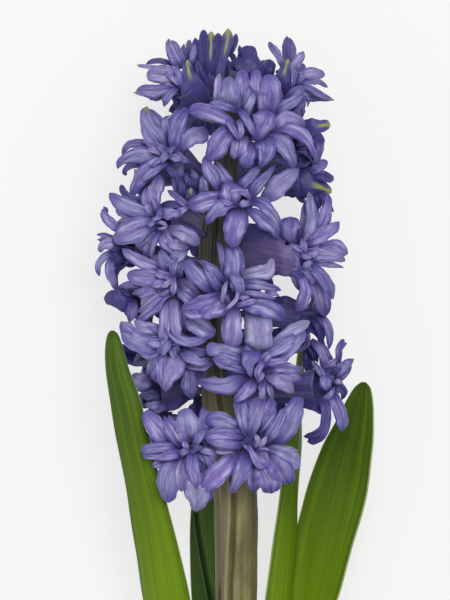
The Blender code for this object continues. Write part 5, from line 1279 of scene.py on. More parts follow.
def build_floret(name, spec, index):
    rng = np.random.default_rng(1000 + index)
    shape = Shape()
    u0, v0 = spec["mouth"]
    z0 = spec["height"]
    facing = unit(spec["facing"])
    mouth = plan(u0, v0, z0)
    centre, radius = scape_at(spec["attach"])
    away = unit((mouth - centre) * [1, 0.2, 1])
    start = centre + away * (radius - 0.9)
    tube(
        shape, start, mouth, facing, rng,
        girth=spec.get("girth", 1.0), flare=spec.get("flare", 4.5), red=spec.get("red", 0.0),
    )
    fz = max(facing[2], 0.45)

    def tilt(point):
        d = point - mouth
        return float(np.clip(-0.6 * (d[0] * facing[0] + d[1] * facing[1]) / fz, -8, 8))

    look = unit(0.6 * UP + 0.4 * facing)
    for row in spec["rows"]:
        if len(row) == 3:
            stations, z, more = row
            more = dict(more)
            loose = more.pop("free", spec.get("free", False))
            keel, deep = more.pop("keel", 0.0), more.pop("deep", 0.0)
            traced(
                shape,
                stations,
                z,
                (lambda point: z0) if loose else (lambda point: z0 + tilt(point)),
                rng,
                green=more.pop("green", 0.0) + (2.0 * keel if keel else 0.0),
                # Painted shade: deep and the floret's shade value are taken off pale, darkening petals in hollows and
                # on florets turned from the light.
                pale=more.pop("pale", 0.0) - deep - spec.get("dim", 0.0),
                violet=more.pop("violet", 0.0),
                tube=0.25 * more.pop("red", 0.0),
                **more,
            )
            continue
        tu, tv, w, bu, bv, level, more = row
        more = dict(more)
        tip, given = plan(tu, tv), plan(bu, bv)
        via = more.pop("via", None)
        free = more.pop("free", False)
        hook = more.pop("hook", 0.0)
        back = more.pop("back", False)
        tz, bz, pz = more.pop("tz", None), more.pop("bz", -4.6), more.pop("pz", None)
        keel, violet = more.pop("keel", 0.0), more.pop("violet", 0.0)
        deep, red = more.pop("deep", 0.0), more.pop("red", 0.0)
        base = given.copy()
        if not free:
            most = max(3.5 - 0.65 * level, 0.9)
            reach = given - mouth
            reach[2] = 0
            if np.linalg.norm(reach) > most:
                base = mouth + unit(reach) * most
        length = np.linalg.norm((tip - given)[:2])
        lift = -1.8 + 1.7 * level if pz is None else pz
        drop = 2.2 + 0.1 * length if level < 2 else 1.0
        middle = plan(*via) if via else 0.5 * (given + tip)
        extra = (lambda q: 0.0) if free else tilt
        zb = z0 + bz + extra(base)
        zp = z0 + lift + extra(middle)
        zt = z0 + (lift - drop if tz is None else tz) + extra(tip)
        base[2], tip[2] = zb, zt
        if via:
            q = 2 * middle - 0.5 * (base + tip)
            knee = base + (q - base) * 0.667
            over = tip + (q - tip) * 0.667
        else:
            knee = given + (tip - given) * 0.22
            over = given + (tip - given) * 0.78
        high = (zp - 0.125 * (zb + zt)) / 0.75
        knee[2] = high - 0.08 * (zp - zb)
        over[2] = high + 0.08 * (zp - zb)
        over = over + hook * (unit(tip - given) * [0.5, 0.5, 0] + UP)
        face = look.copy()
        if back:
            face = unit(facing * [1, 1, 0] + [0, 0, -0.9])
        width = w * UNIT / max(math.cos(math.radians(more.get("roll", 0.0))), 0.6)
        steps = (19, 11) if w > 10 else (15, 9)
        petal(
            shape, (base, knee, over, tip), width, face, rng,
            steps=steps,
            green=more.pop("green", 0.0) + (2.0 * keel if keel else 0.0),
            # Painted shade: deep and the floret's shade value are taken off pale, darkening petals in hollows and on
            # florets turned from the light.
            pale=more.pop("pale", 0.0) - deep - spec.get("dim", 0.0),
            tube=0.25 * red,
            violet=violet,
            **more,
        )
    if spec["fill"]:
        def wanted(d, level):
            if facing[2] > 0.93:
                return False
            return d[2] < (-0.15 if level < 2 else -0.3)

        whorl(shape, mouth, facing, spec["reach"], rng, wanted)
    return shape


def build_back(name, spec, index):
    u, v, z, attach, facing, reach = spec
    facing = unit(facing)
    mouth = plan(u, v, z)
    centre, radius = scape_at(attach)
    away = unit((mouth - centre) * [1, 0.2, 1])
    start = centre + away * (radius - 0.9)
    # A floret under the spike lies on the surface, so it is let down onto it.
    for _ in range(5):
        rng = np.random.default_rng(2000 + index)
        shape = Shape()
        tube(shape, start, mouth, facing, rng)
        whorl(shape, mouth, facing, reach, rng, lambda d, level: True, steps=(13, 9), floor=0.05)
        gap = min(points[:, 2].min() for points in shape.points) - 0.10
        if z > 10 or gap < 0.08:
            break
        mouth = mouth - np.array([0, 0, gap])
    return shape


# -------------------------------------------------------------------- leaves
LEAF_THICK, LEAF_EDGE = 1.15, 0.45
LEAVES = {
    "leaf_left": [
        (828, None, 8.75, -78, 15.8, 8.75),
        (795, 206.0, 13.2, -72, 16.0, 9.4),
        (760, 200.0, 16.2, -68, 16.4, 10.6),
        (720, 190.5, 19.8, -63, 17.4, 12.6),
        (680, 181.0, 23.4, -56, 18.0, 14.5),
        (640, 171.5, 27.0, -44, 18.4, 17.0),
        (600, 163.1, 30.6, -32, 18.6, 18.6),
        (550, 155.1, 34.6, -28, 16.3, 19.3),
        (500, 145.5, 37.8, -26, 13.9, 18.4),
        (450, 134.4, 40.2, -25, 12.2, 16.2),
        (400, 124.4, 41.8, -25, 11.0, 15.8),
        (365, 116.2, 42.2, -25, 8.1, 12.0),
        (345, 113.8, 42.0, -25, 5.8, 9.3),
        (334, 113.1, 41.4, -25, 3.4, 6.5),
        (330.5, 112.8, 41.1, -25, 1.1, 3.0),
    ],
    "leaf_right": [
        (828, None, 8.75, 72, 15.8, 8.75),
        (795, 269.5, 12.2, 76, 16.2, 9.4),
        (760, 276.4, 12.6, 83, 16.8, 10.6),
        (720, 285.4, 13.2, 96, 17.8, 13.2),
        (680, 295.0, 13.8, 112, 18.8, 16.5),
        (640, 305.5, 14.2, 130, 20.0, 21.0),
        (600, 315.3, 15.0, 145, 21.2, 25.6),
        (550, 325.5, 17.0, 150, 22.7, 32.1),
        (500, 337.9, 19.0, 153, 22.4, 34.4),
        (450, 349.3, 20.8, 154, 18.6, 31.0),
        (420, 356.9, 21.6, 154, 13.0, 23.9),
        (398, 361.6, 22.0, 154, 8.6, 17.0),
        (387, 363.6, 22.0, 154, 5.2, 10.0),
        (382.5, 364.2, 21.8, 154, 1.6, 5.0),
    ],
    "leaf_right_narrow": [
        (828, None, 7.30, 70, 12.0, 7.30),
        (795, 262.8, 13.8, 69, 12.3, 7.9),
        (760, 266.4, 16.0, 67, 12.8, 9.0),
        (720, 270.2, 18.6, 66, 13.2, 10.6),
        (680, 273.8, 21.2, 65, 13.5, 12.4),
        (640, 279.0, 23.8, 63, 15.6, 17.0),
        (600, 283.8, 25.8, 60, 18.1, 21.6),
        (550, 288.4, 26.4, 62, 16.4, 21.4),
        (500, 292.0, 26.0, 64, 13.9, 18.9),
        (450, 296.2, 24.6, 66, 12.8, 17.8),
        (410, 298.5, 23.2, 70, 10.4, 14.4),
        (375, 301.5, 22.0, 74, 8.0, 11.0),
        (352, 303.0, 21.2, 74, 6.0, 9.0),
        (342, 304.5, 21.0, 74, 1.6, 5.0),
    ],
    "leaf_back": [
        (828, None, 8.75, 180, 12.8, 8.75),
        (795, 235.0, 0.85, 181, 13.2, 9.6),
        (760, 231.2, 0.90, 181, 13.6, 13.0),
        (720, 226.8, 0.85, 180, 14.0, 30.0),
        (680, 222.4, 0.75, 180, 14.4, 900.0),
        (640, 218.0, 0.75, 180, 14.6, 900.0),
        (600, 213.8, 0.75, 180, 14.6, 900.0),
        (550, 211.2, 0.75, 180, 14.0, 900.0),
        (515, 209.6, 0.75, 180, 12.4, 900.0),
        (490, 208.5, 0.75, 180, 9.6, 900.0),
        (474, 207.8, 0.75, 180, 5.6, 900.0),
        (466, 207.4, 0.75, 180, 2.4, 900.0),
    ],
}


def build_leaf(name, rows, index):
    rng = np.random.default_rng(3000 + index)
    table = []
    for v, u, height, facing, width, bend in rows:
        a = math.radians(facing)
        if u is None:
            centre, _ = scape_at(v)
            middle = centre + height * np.array([math.sin(a), 0.0, math.cos(a)])
        else:
            middle = plan(u, v, height)
        table.append((v, middle[0], middle[2], facing, width, 1.0 / bend))
    first, last = rows[0][0], rows[-1][0]
    ns, nt = 120, 41
    x = np.linspace(0, 1, ns)
    s = 0.75 * x + 0.25 * np.sin(0.5 * math.pi * x)
    v = first + (last - first) * s
    mx, mz, facing, width, curve = (monotone(table, v, c) for c in range(1, 6))
    a = np.radians(facing)
    normal = np.stack([np.sin(a), 0 * a, np.cos(a)], 1)[:, None, :]
    side = np.stack([np.cos(a), 0 * a, -np.sin(a)], 1)[:, None, :]
    middle = np.stack([mx, MIDDLE[1] + (PLAN_V - v) * UNIT, mz], 1)[:, None, :]
    t = np.linspace(-1, 1, nt)
    bow = (0.5 * width * curve)[:, None] * t[None, :]
    radius = (1.0 / curve)[:, None]
    out = np.cos(bow)[:, :, None] * normal + np.sin(bow)[:, :, None] * side
    grid = (
        middle
        + (radius * (np.cos(bow) - 1.0))[:, :, None] * normal
        + (radius * np.sin(bow))[:, :, None] * side
    )
    ridges = sum(
        np.cos(math.pi * k * t + f) for k, f in zip((9, 14), rng.uniform(0, 6, 2))
    )
    half = 0.5 * (LEAF_EDGE + (LEAF_THICK - LEAF_EDGE) * (1 - np.abs(t) ** 3))
    half = half[None, :] * np.minimum(1.0, 0.45 + width / 14.0)[:, None]
    fine = 0.022 * ridges[None, :] * smooth((1 - np.abs(t)) / 0.15)[None, :]
    keel = 0.22 * np.exp(-((t / 0.1) ** 2))[None, :] * smooth(width / 8.0)[:, None]
    wave = 0.18 * (np.abs(t) ** 2)[None, :] * np.sin(
        2 * math.pi * (v / 95.0)[:, None] + 1.7 * np.sign(t)[None, :] + index
    )
    top = grid + out * (half + fine + 0.5 * keel + wave)[:, :, None]
    bottom = grid - out * (half - fine * 0.7 + 0.15 * keel - wave)[:, :, None]
    if name == "leaf_back":
        # Its left margin is folded over along a slanting line.
        fold = 1.127 - 2.287 * s
        over = 0.55 * smooth((fold[:, None] + t[None, :]) / 0.05 + 0.5) * smooth((s[:, None] - 0.2) / 0.2)
        over = over - 0.25 * np.exp(-(((t[None, :] + fold[:, None] + 0.14) / 0.1) ** 2)) * smooth((s[:, None] - 0.2) / 0.2)
        top[:, :, 2] += over
        bottom[:, :, 2] += over
        top[:, :, 2] = np.maximum(top[:, :, 2], 0.05)
        bottom[:, :, 2] = np.maximum(bottom[:, :, 2], top[:, :, 2] + 0.4)
    for points in (top, bottom):
        points[:, :, 2] = np.maximum(points[:, :, 2], 0.05)
    shape = Shape()
    # The sheet's first grid is its inner side, which sees the stalk.
    shape.sheet(
        bottom[:, ::-1][:, :],
        top[:, ::-1],
        np.broadcast_to(s[:, None], (ns, nt)),
        np.broadcast_to(-t[None, ::-1], (ns, nt)),
        tone=0.25 * index,
    )
    return shape


def build_scape():
    rng = np.random.default_rng(4000)
    shape = Shape()
    v = np.concatenate(
        [[828.0], np.linspace(827.3, 640, 50), np.linspace(636, 90, 130)]
    )
    k = 108
    a = np.linspace(0, 2 * math.pi, k, endpoint=False)
    rings, along = [], []
    for i, at in enumerate(v):
        centre, radius = scape_at(at)
        ahead, _ = scape_at(at - 3)
        behind, _ = scape_at(at + 3)
        step = unit(ahead - behind)
        if at > 820:
            step = unit(step * smooth((828 - at) / 8.0) + [0.0, 1.0 - smooth((828 - at) / 8.0), 0.0])
        side = unit(np.cross(step, UP))
        up = np.cross(side, step)
        # side is to the right and up faces the viewer, so pi/2 is on top.
        r = 1.0 + 0.035 * np.cos(8 * a + 0.5) + 0.012 * np.cos(17 * a + 1.0)
        for middle, deep, wide in ((0.62, 0.07, 0.12), (2.62, 0.10, 0.16), (4.3, 0.1, 0.15), (5.4, 0.08, 0.14)):
            off = (a - middle + math.pi) % (2 * math.pi) - math.pi
            r = r - deep * np.exp(-((off / wide) ** 2))
        # One deep groove with a sharp ridge beside it, which slants across.
        lower = float(smooth((at - 480.0) / 130.0))
        off = (a - (1.69 + 0.26 * lower) + math.pi) % (2 * math.pi) - math.pi
        wide = np.where(off > 0, 0.09, 0.22 - 0.10 * lower)
        r = r - 0.24 * np.exp(-((off / wide) ** 2)) + 0.05 * np.exp(-(((off - 0.22) / 0.08) ** 2))
        r = r * (1.0 + 0.006 * math.sin(at / 9.0) + 0.004 * math.sin(at / 3.7))
        rings.append(
            centre
            + (radius * r * np.cos(a))[:, None] * side
            + (radius * r * np.sin(a))[:, None] * up
        )
        along.append((828 - at) / 738.0)
    rings = np.array(rings)
    along = np.array(along)[:, None] * np.ones((1, k))
    across = np.broadcast_to(a[None, :] / (2 * math.pi), along.shape)
    shape.rings(rings[:, ::-1], along, across[:, ::-1])
    return shape


# ----------------------------------------------------------------- materials
class Nodes:
    """Short names for the nodes of one material."""

    def __init__(self, name, roughness, specular):
        self.material = bpy.data.materials.new(name)
        self.material.use_nodes = True
        self.tree = self.material.node_tree
        self.shader = self.tree.nodes["Principled BSDF"]
        self.shader.inputs["Roughness"].default_value = roughness
        self.shader.inputs["Specular IOR Level"].default_value = specular

    def feed(self, socket, value):
        if isinstance(value, bpy.types.NodeSocket):
            self.tree.links.new(value, socket)
        elif socket.type in ("RGBA",):
            socket.default_value = (*value, 1.0) if len(value) == 3 else value
        else:
            socket.default_value = value

    def number(self, name):
        node = self.tree.nodes.new("ShaderNodeAttribute")
        node.attribute_name = name
        return node.outputs["Fac"]

    def math(self, operation, a, b=0.0, c=0.0, clamp=False):
        node = self.tree.nodes.new("ShaderNodeMath")
        node.operation = operation
        node.use_clamp = clamp
        for i, value in enumerate((a, b, c)):
            self.feed(node.inputs[i], value)
        return node.outputs[0]

    def add(self, a, b):
        return self.math("ADD", a, b)

    def sub(self, a, b):
        return self.math("SUBTRACT", a, b)

    def mul(self, a, b):
        return self.math("MULTIPLY", a, b)

    def step(self, value, low, high, to_low=0.0, to_high=1.0):
        node = self.tree.nodes.new("ShaderNodeMapRange")
        node.interpolation_type = "SMOOTHSTEP"
        node.clamp = True
        for i, x in enumerate((value, low, high, to_low, to_high)):
            self.feed(node.inputs[i], x)
        return node.outputs[0]

    def mix(self, share, a, b):
        node = self.tree.nodes.new("ShaderNodeMix")
        node.data_type = "RGBA"
        node.clamp_factor = True
        self.feed(node.inputs[0], share)
        self.feed(node.inputs[6], a)
        self.feed(node.inputs[7], b)
        return node.outputs[2]

    def tint(self, colour, share, by):
        """The colour multiplied by another, by a share."""
        node = self.tree.nodes.new("ShaderNodeMix")
        node.data_type = "RGBA"
        node.blend_type = "MULTIPLY"
        self.feed(node.inputs[0], share)
        self.feed(node.inputs[6], colour)
        self.feed(node.inputs[7], by)
        return node.outputs[2]

    def vector(self, x, y, z):
        node = self.tree.nodes.new("ShaderNodeCombineXYZ")
        for i, value in enumerate((x, y, z)):
            self.feed(node.inputs[i], value)
        return node.outputs[0]

    def noise(self, vector, scale, detail=3.0, roughness=0.55):
        node = self.tree.nodes.new("ShaderNodeTexNoise")
        self.feed(node.inputs["Vector"], vector)
        node.inputs["Scale"].default_value = scale
        node.inputs["Detail"].default_value = detail
        node.inputs["Roughness"].default_value = roughness
        return node.outputs["Fac"]

    def place(self):
        node = self.tree.nodes.new("ShaderNodeTexCoord")
        return node.outputs["Object"]

    def bump(self, height, strength, distance):
        node = self.tree.nodes.new("ShaderNodeBump")
        node.inputs["Strength"].default_value = strength
        node.inputs["Distance"].default_value = distance
        self.feed(node.inputs["Height"], height)
        self.tree.links.new(node.outputs[0], self.shader.inputs["Normal"])


def petal_material():
    n = Nodes("petal_lavender", 0.46, 0.38)
    s, t = n.number("along"), n.number("across")
    outer, tone = n.number("outer"), n.number("tone")
    green, is_tube, pale = n.number("green"), n.number("tube"), n.number("pale")
    wide = n.math("ABSOLUTE", t)
    place = n.place()
    # Streaks that run along the petal, each petal with its own.
    streak_at = n.vector(n.mul(t, 2.7), n.mul(s, 1.1), n.mul(tone, 37.0))
    streak = n.noise(streak_at, 1.6, 4.0, 0.6)
    fine_at = n.vector(n.mul(t, 9.0), n.mul(s, 1.9), n.mul(tone, 53.0))
    fine = n.noise(fine_at, 1.3, 3.0, 0.6)
    cloud = n.noise(place, 160.0, 3.0, 0.55)
    light, body = (0.415, 0.400, 0.620), (0.140, 0.114, 0.366)
    blue, violet = (0.058, 0.044, 0.268), (0.160, 0.080, 0.330)
    greyish, pinkish = (0.262, 0.262, 0.400), (0.255, 0.188, 0.480)
    # A light band down each half, from the throat to near the tip.
    band = n.mul(n.step(s, 0.12, 0.42), n.step(s, 0.99, 0.66))
    band = n.mul(band, n.step(wide, 1.0, 0.5))
    band = n.mul(band, n.step(streak, 0.38, 0.60, 0.12, 1.12))
    band = n.add(band, n.mul(n.step(pale, 0.0, 1.0), n.mul(band, 0.6)))
    patch = n.noise(n.vector(n.mul(t, 1.3), n.mul(s, 2.2), n.mul(tone, 71.0)), 1.2, 3.0, 0.55)
    body = n.mix(n.step(patch, 0.40, 0.62), body, n.mix(n.step(tone, 0.3, 0.7), (0.112, 0.110, 0.345), (0.155, 0.122, 0.395)))
    light = n.mix(n.step(patch, 0.55, 0.40), light, n.mix(n.step(tone, 0.25, 0.75), greyish, pinkish))
    colour = n.mix(n.mul(band, 0.85), body, light)
    colour = n.mix(n.mul(n.step(cloud, 0.40, 0.72), 0.25), colour, light)
    colour = n.mix(n.mul(n.step(fine, 0.46, 0.66), 0.34), colour, blue)
    # Painted shade: one half of each petal is darkened towards blue, as if its fold turned that half away from the
    # light.
    half = n.step(n.mul(t, n.sub(n.mul(n.step(tone, 0.44, 0.56), 2.0), 1.0)), -0.25, 0.25)
    colour = n.mix(n.mul(half, n.mul(n.step(wide, 0.05, 0.35), 0.26)), colour, blue)
    # The margin, the tip and the midrib are a deeper violet.
    side_at = n.vector(n.add(n.mul(n.step(t, -0.1, 0.1), 5.0), n.mul(tone, 91.0)), n.mul(s, 2.6), 4.0)
    uneven = n.noise(side_at, 1.0, 2.0, 0.5)
    margin = n.mul(n.step(wide, 0.60, 0.94), n.step(uneven, 0.38, 0.60, 0.12, 0.92))
    colour = n.mix(margin, colour, blue)
    colour = n.mix(n.mul(n.step(s, 0.72, 1.0), 0.62), colour, blue)
    broad = n.mul(n.step(wide, 0.62, 0.08), n.mul(n.step(s, 0.10, 0.40), n.step(s, 1.0, 0.72, 0.35, 1.0)))
    colour = n.mix(n.mul(broad, n.mul(n.number("violet"), 0.50)), colour, (0.205, 0.125, 0.430))
    rib = n.mul(n.step(wide, 0.12, 0.0), n.step(s, 0.99, 0.70, 0.25, 1.0))
    colour = n.mix(n.mul(rib, 0.45), colour, violet)
    side_rib = n.mul(n.step(n.math("ABSOLUTE", n.sub(wide, 0.42)), 0.08, 0.0), 0.12)
    colour = n.mix(side_rib, colour, blue)
    # A painted highlight: a thin light edge along the margin, where a curled edge catches the light.
    edge = n.mul(n.step(wide, 0.93, 0.985), n.step(s, 0.15, 0.45))
    colour = n.mix(n.mul(edge, n.step(uneven, 0.35, 0.62, 0.75, 0.15)), colour, (0.400, 0.360, 0.700))
    # The back of a petal is bluer and darker, with a dark keel.
    back = n.mix(n.mul(n.step(wide, 0.3, 0.0), 0.6), (0.105, 0.090, 0.320), (0.060, 0.046, 0.200))
    back = n.mix(n.mul(n.step(streak, 0.4, 0.7), 0.45), back, (0.165, 0.148, 0.400))
    colour = n.mix(n.mul(outer, 0.85), colour, back)
    # The throat, the tube and the pedicel are plum.
    plum = n.mix(n.step(streak, 0.35, 0.7), (0.055, 0.046, 0.165), (0.100, 0.088, 0.270))
    red = n.mix(n.step(streak, 0.35, 0.7), (0.080, 0.046, 0.150), (0.140, 0.090, 0.250))
    plum = n.mix(n.mul(is_tube, n.step(pale, 0.2, 1.0)), plum, red)
    colour = n.mix(n.mul(is_tube, n.step(s, 2.0, 0.0, 1.0, 1.0)), colour, plum)
    petal_only = n.sub(1.0, is_tube)
    # Painted shade: each petal darkens towards its base, down in the throat.
    colour = n.mix(n.mul(petal_only, n.step(s, 0.28, 0.0, 0.0, 0.80)), colour, (0.056, 0.040, 0.225))
    # Lighter petals, and painted shade on darker ones: petals that lie in hollows or on florets turned from the light,
    # where pale is below nothing.
    colour = n.mix(n.mul(petal_only, n.step(pale, 0.0, 1.0, 0.0, 0.38)), colour, (0.420, 0.400, 0.580))
    colour = n.mix(n.mul(petal_only, n.step(pale, 0.0, -1.6, 0.0, 0.95)), colour, (0.034, 0.028, 0.158))
    value = n.step(tone, 0.0, 1.0, 0.90, 1.09)
    colour = n.tint(colour, 1.0, n.vector(value, value, n.step(tone, 0.0, 1.0, 0.95, 1.04)))
    # Green and yellow where a petal closed the bud: at its tip, or up its keel.
    at_tip = n.mul(n.step(s, 0.82, 0.98), n.step(green, 0.0, 1.0))
    at_tip = n.mul(at_tip, n.math("MAXIMUM", n.step(green, 1.35, 1.15), n.step(wide, 0.95, 0.40)))
    on_keel = n.mul(n.mul(n.step(wide, 0.34, 0.10), n.step(s, 0.50, 0.74)), n.step(green, 1.2, 2.4))
    leafy = n.math("MAXIMUM", at_tip, n.mul(on_keel, outer), clamp=True)
    colour = n.mix(n.mul(leafy, 0.9), colour, n.mix(n.step(fine, 0.3, 0.7), (0.205, 0.250, 0.020), (0.370, 0.405, 0.070)))
    n.feed(n.shader.inputs["Base Color"], colour)
    n.feed(n.shader.inputs["Roughness"], n.step(streak, 0.2, 0.8, 0.40, 0.54))
    n.shader.inputs["Subsurface Weight"].default_value = 0.10
    n.shader.inputs["Subsurface Radius"].default_value = (0.6, 0.5, 1.0)
    n.shader.inputs["Subsurface Scale"].default_value = 0.0012
    n.shader.inputs["Sheen Weight"].default_value = 0.12
    n.shader.inputs["Sheen Roughness"].default_value = 0.45
    cells = n.noise(place, 2600.0, 2.0, 0.5)
    height = n.add(n.mul(fine, 0.36), n.add(n.mul(streak, 0.45), n.mul(cells, 0.16)))
    n.bump(height, 0.55, 0.00035)
    return n.material


def leaf_material(name, low, high, glow, dark, folded=False):
    n = Nodes(name, 0.42, 0.12)
    s, t, outer = n.number("along"), n.number("across"), n.number("outer")
    wide = n.math("ABSOLUTE", t)
    place = n.place()
    vein_at = n.vector(n.mul(t, 1.0), n.mul(s, 0.10), n.number("tone"))
    broad = n.noise(vein_at, 4.0, 3.0, 0.6)
    veins = n.noise(n.vector(t, n.mul(s, 0.16), 3.0), 17.0, 3.0, 0.65)
    thin = n.noise(n.vector(t, n.mul(s, 0.35), 7.0), 46.0, 2.0, 0.6)
    colour = n.mix(n.step(s, 0.40, 0.92), low, high)
    colour = n.mix(n.mul(n.step(broad, 0.40, 0.72), 0.42), colour, glow)
    colour = n.mix(n.mul(n.step(veins, 0.48, 0.72), 0.42), colour, dark)
    colour = n.mix(n.mul(n.step(thin, 0.52, 0.75), 0.22), colour, glow)
    colour = n.mix(n.mul(n.step(wide, 0.72, 0.97), 0.55), colour, dark)
    if folded:
        # Painted light and shade along the fold: beyond it the leaf is painted a lighter green, as if lit out of the
        # stalk's shadow, a painted shadow lies in a band beside the fold line, and a painted highlight runs along its
        # edge.
        off = n.sub(t, n.sub(1.127, n.mul(s, 2.287)))
        colour = n.mix(n.mul(n.step(off, 0.06, 0.40), 0.80), colour, n.mix(n.step(veins, 0.4, 0.65), (0.145, 0.235, 0.060), (0.080, 0.150, 0.035)))
        colour = n.mix(n.mul(n.mul(n.step(off, 0.0, 0.06), n.step(off, 0.34, 0.16)), 0.90), colour, (0.008, 0.032, 0.008))
        colour = n.mix(n.mul(n.mul(n.step(off, -0.07, -0.02), n.step(off, 0.03, 0.0)), 0.75), colour, (0.150, 0.235, 0.105))
    colour = n.mix(n.mul(n.step(wide, 0.955, 0.995), 0.75), colour, (0.340, 0.400, 0.150))
    # Pale at the foot, where the leaf grew inside the bulb's neck.
    colour = n.mix(n.step(s, 0.15, 0.0), colour, (0.560, 0.600, 0.300))
    colour = n.mix(n.mul(n.step(s, 0.975, 1.0), 0.55), colour, dark)
    blotch = n.noise(place, 90.0, 3.0, 0.6)
    colour = n.tint(colour, n.step(blotch, 0.35, 0.75, 0.0, 0.30), (0.72, 0.78, 0.7))
    n.feed(n.shader.inputs["Base Color"], colour)
    n.feed(n.shader.inputs["Roughness"], n.step(veins, 0.3, 0.7, 0.30, 0.44))
    n.shader.inputs["Subsurface Weight"].default_value = 0.08
    n.shader.inputs["Subsurface Radius"].default_value = (0.4, 1.0, 0.2)
    n.shader.inputs["Subsurface Scale"].default_value = 0.001
    height = n.add(n.mul(veins, 0.6), n.add(n.mul(thin, 0.4), n.mul(n.noise(place, 1500.0, 2.0), 0.1)))
    n.bump(height, 0.6, 0.0003)
    return n.material


def scape_material():
    n = Nodes("stalk_olive", 0.5, 0.42)
    s, a = n.number("along"), n.number("across")
    place = n.place()
    stretch = n.tree.nodes.new("ShaderNodeMapping")
    stretch.inputs["Scale"].default_value = (1.0, 0.09, 1.0)
    n.feed(stretch.inputs["Vector"], place)
    fibre = n.noise(stretch.outputs[0], 420.0, 4.0, 0.62)
    broad = n.noise(stretch.outputs[0], 130.0, 3.0, 0.6)
    spots = n.noise(place, 900.0, 3.0, 0.7)
    colour = n.mix(n.step(broad, 0.36, 0.66), (0.112, 0.100, 0.038), (0.262, 0.232, 0.092))
    colour = n.mix(n.mul(n.step(fibre, 0.48, 0.74), 0.55), colour, (0.110, 0.085, 0.060))
    colour = n.mix(n.mul(n.step(spots, 0.56, 0.74), 0.40), colour, (0.130, 0.080, 0.090))
    # Painted shade darkens the groove, a painted highlight makes the ridge beside it pale, the side past it is browner,
    # and on the lower stalk a band of painted shadow lies across that browner side.
    off = n.sub(a, n.step(s, 0.294, 0.471, 0.310, 0.269))
    colour = n.mix(n.mul(n.mul(n.step(off, 0.018, 0.045), n.step(off, 0.25, 0.20)), 0.62), colour, (0.150, 0.118, 0.072))
    colour = n.mix(n.mul(n.mul(n.step(off, -0.048, -0.012), n.step(off, 0.020, 0.006)), 0.60), colour, (0.050, 0.043, 0.018))
    colour = n.mix(n.mul(n.mul(n.step(off, 0.016, 0.028), n.step(off, 0.046, 0.030)), 0.55), colour, (0.300, 0.270, 0.150))
    colour = n.mix(n.mul(n.mul(n.step(off, 0.055, 0.075), n.step(off, 0.150, 0.120)), n.mul(n.step(s, 0.36, 0.31), 0.80)), colour, (0.030, 0.028, 0.024))
    # Darker and browner inside the spike, painted shade where the florets crowd round the stalk; green and pale at the
    # cut.
    colour = n.mix(n.step(s, 0.50, 0.66), colour, n.mix(n.step(fibre, 0.35, 0.65), (0.046, 0.042, 0.034), (0.105, 0.095, 0.072)))
    colour = n.mix(n.step(s, 0.30, 0.02, 0.0, 0.75), colour, (0.340, 0.400, 0.150))
    cut = n.step(s, 0.0012, 0.0)
    colour = n.mix(cut, colour, (0.520, 0.560, 0.300))
    n.feed(n.shader.inputs["Base Color"], colour)
    n.feed(n.shader.inputs["Roughness"], n.step(fibre, 0.2, 0.8, 0.42, 0.60))
    height = n.add(n.mul(fibre, 0.6), n.mul(spots, 0.25))
    n.bump(height, 0.6, 0.0004)
    return n.material


def floor_material():
    n = Nodes("floor_pale", 0.8, 0.2)
    place = n.place()
    grain = n.noise(place, 8.0, 3.0, 0.6)
    n.feed(n.shader.inputs["Base Color"], n.mix(grain, (0.200, 0.200, 0.200), (0.212, 0.212, 0.211)))
    # It gives off some light of its own, like the lit table of a product photo.
    n.shader.inputs["Emission Color"].default_value = (1.0, 1.0, 1.0, 1.0)
    n.shader.inputs["Emission Strength"].default_value = 0.700
    return n.material


# -------------------------------------------------------------------- pieces
petals = petal_material()
for i, (name, spec) in enumerate(FLORETS.items()):
    piece = build_floret(name, spec, i).piece("look_" + name, [petals])
    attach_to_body(piece, "root")
    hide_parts(name)
for i, (name, spec) in enumerate(BACK_FLORETS.items()):
    piece = build_back(name, spec, i).piece("look_" + name, [petals])
    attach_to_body(piece, "root")
    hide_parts(name)

green = leaf_material(
    "leaf_green", (0.152, 0.252, 0.005), (0.046, 0.090, 0.009), (0.170, 0.275, 0.010), (0.034, 0.072, 0.005)
)
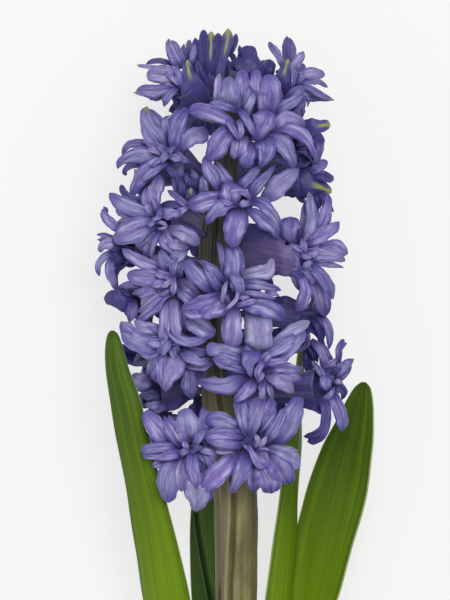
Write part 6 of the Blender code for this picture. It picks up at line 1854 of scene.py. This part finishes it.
# Painted shade: the leaf at the back gets a darker copy of the same green, as it lies behind the stalk in shade.
shaded_leaf_green = leaf_material(
    "leaf_green_painted_shade", (0.048, 0.104, 0.011), (0.034, 0.078, 0.012), (0.088, 0.150, 0.020), (0.017, 0.042, 0.007), True
)
for i, (name, rows) in enumerate(LEAVES.items()):
    dark = name == "leaf_back"
    piece = build_leaf(name, rows, i).piece("look_" + name, [shaded_leaf_green if dark else green])
    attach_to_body(piece, "root")
    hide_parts(name)

piece = build_scape().piece("look_scape", [scape_material()])
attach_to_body(piece, "root")
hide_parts("scape")

# --------------------------------------------------------------------- stage
mesh = bpy.data.meshes.new("floor")
side = 6.0
mesh.from_pydata(
    [(-side, -side, 0), (side, -side, 0), (side, side, 0), (-side, side, 0)], [], [(0, 1, 2, 3)]
)
mesh.materials.append(floor_material())
floor = bpy.data.objects.new("floor", mesh)
bpy.context.scene.collection.objects.link(floor)
floor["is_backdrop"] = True

world = bpy.data.worlds.new("studio")
bpy.context.scene.world = world
world.use_nodes = True
world.node_tree.nodes["Background"].inputs["Color"].default_value = (0.95, 0.97, 1.0, 1.0)
world.node_tree.nodes["Background"].inputs["Strength"].default_value = 0.52


def softbox(name, place, aim, size, power):
    light = bpy.data.lights.new(name, "AREA")
    light.shape = "RECTANGLE"
    light.size, light.size_y = size
    light.energy = power
    light.color = (1.0, 0.985, 0.96)
    made = bpy.data.objects.new(name, light)
    bpy.context.scene.collection.objects.link(made)
    made.location = place
    made.visible_camera = False
    way = np.array(aim, float) - np.array(place, float)
    from mathutils import Vector

    made.rotation_euler = Vector(way).to_track_quat("-Z", "Y").to_euler()
    return made


softbox("key", (0.25, 0.55, 1.7), (0, 0.04, 0.03), (1.0, 1.0), 21.5)
softbox("fill", (-1.1, -0.4, 1.0), (0, 0.04, 0.03), (1.0, 1.0), 3.0)

camera = bpy.data.cameras.new("camera")
camera.sensor_width = 36.0
camera.lens = 481.0
camera.clip_start = 0.05
camera.clip_end = 50.0
eye = bpy.data.objects.new("camera", camera)
bpy.context.scene.collection.objects.link(eye)
look = plan(225, 300) * 0.001
eye.location = (look[0], look[1], 2.6)
eye.rotation_euler = (0.0, 0.0, 0.0)
bpy.context.scene.camera = eye
bpy.context.scene.view_settings.view_transform = "Standard"
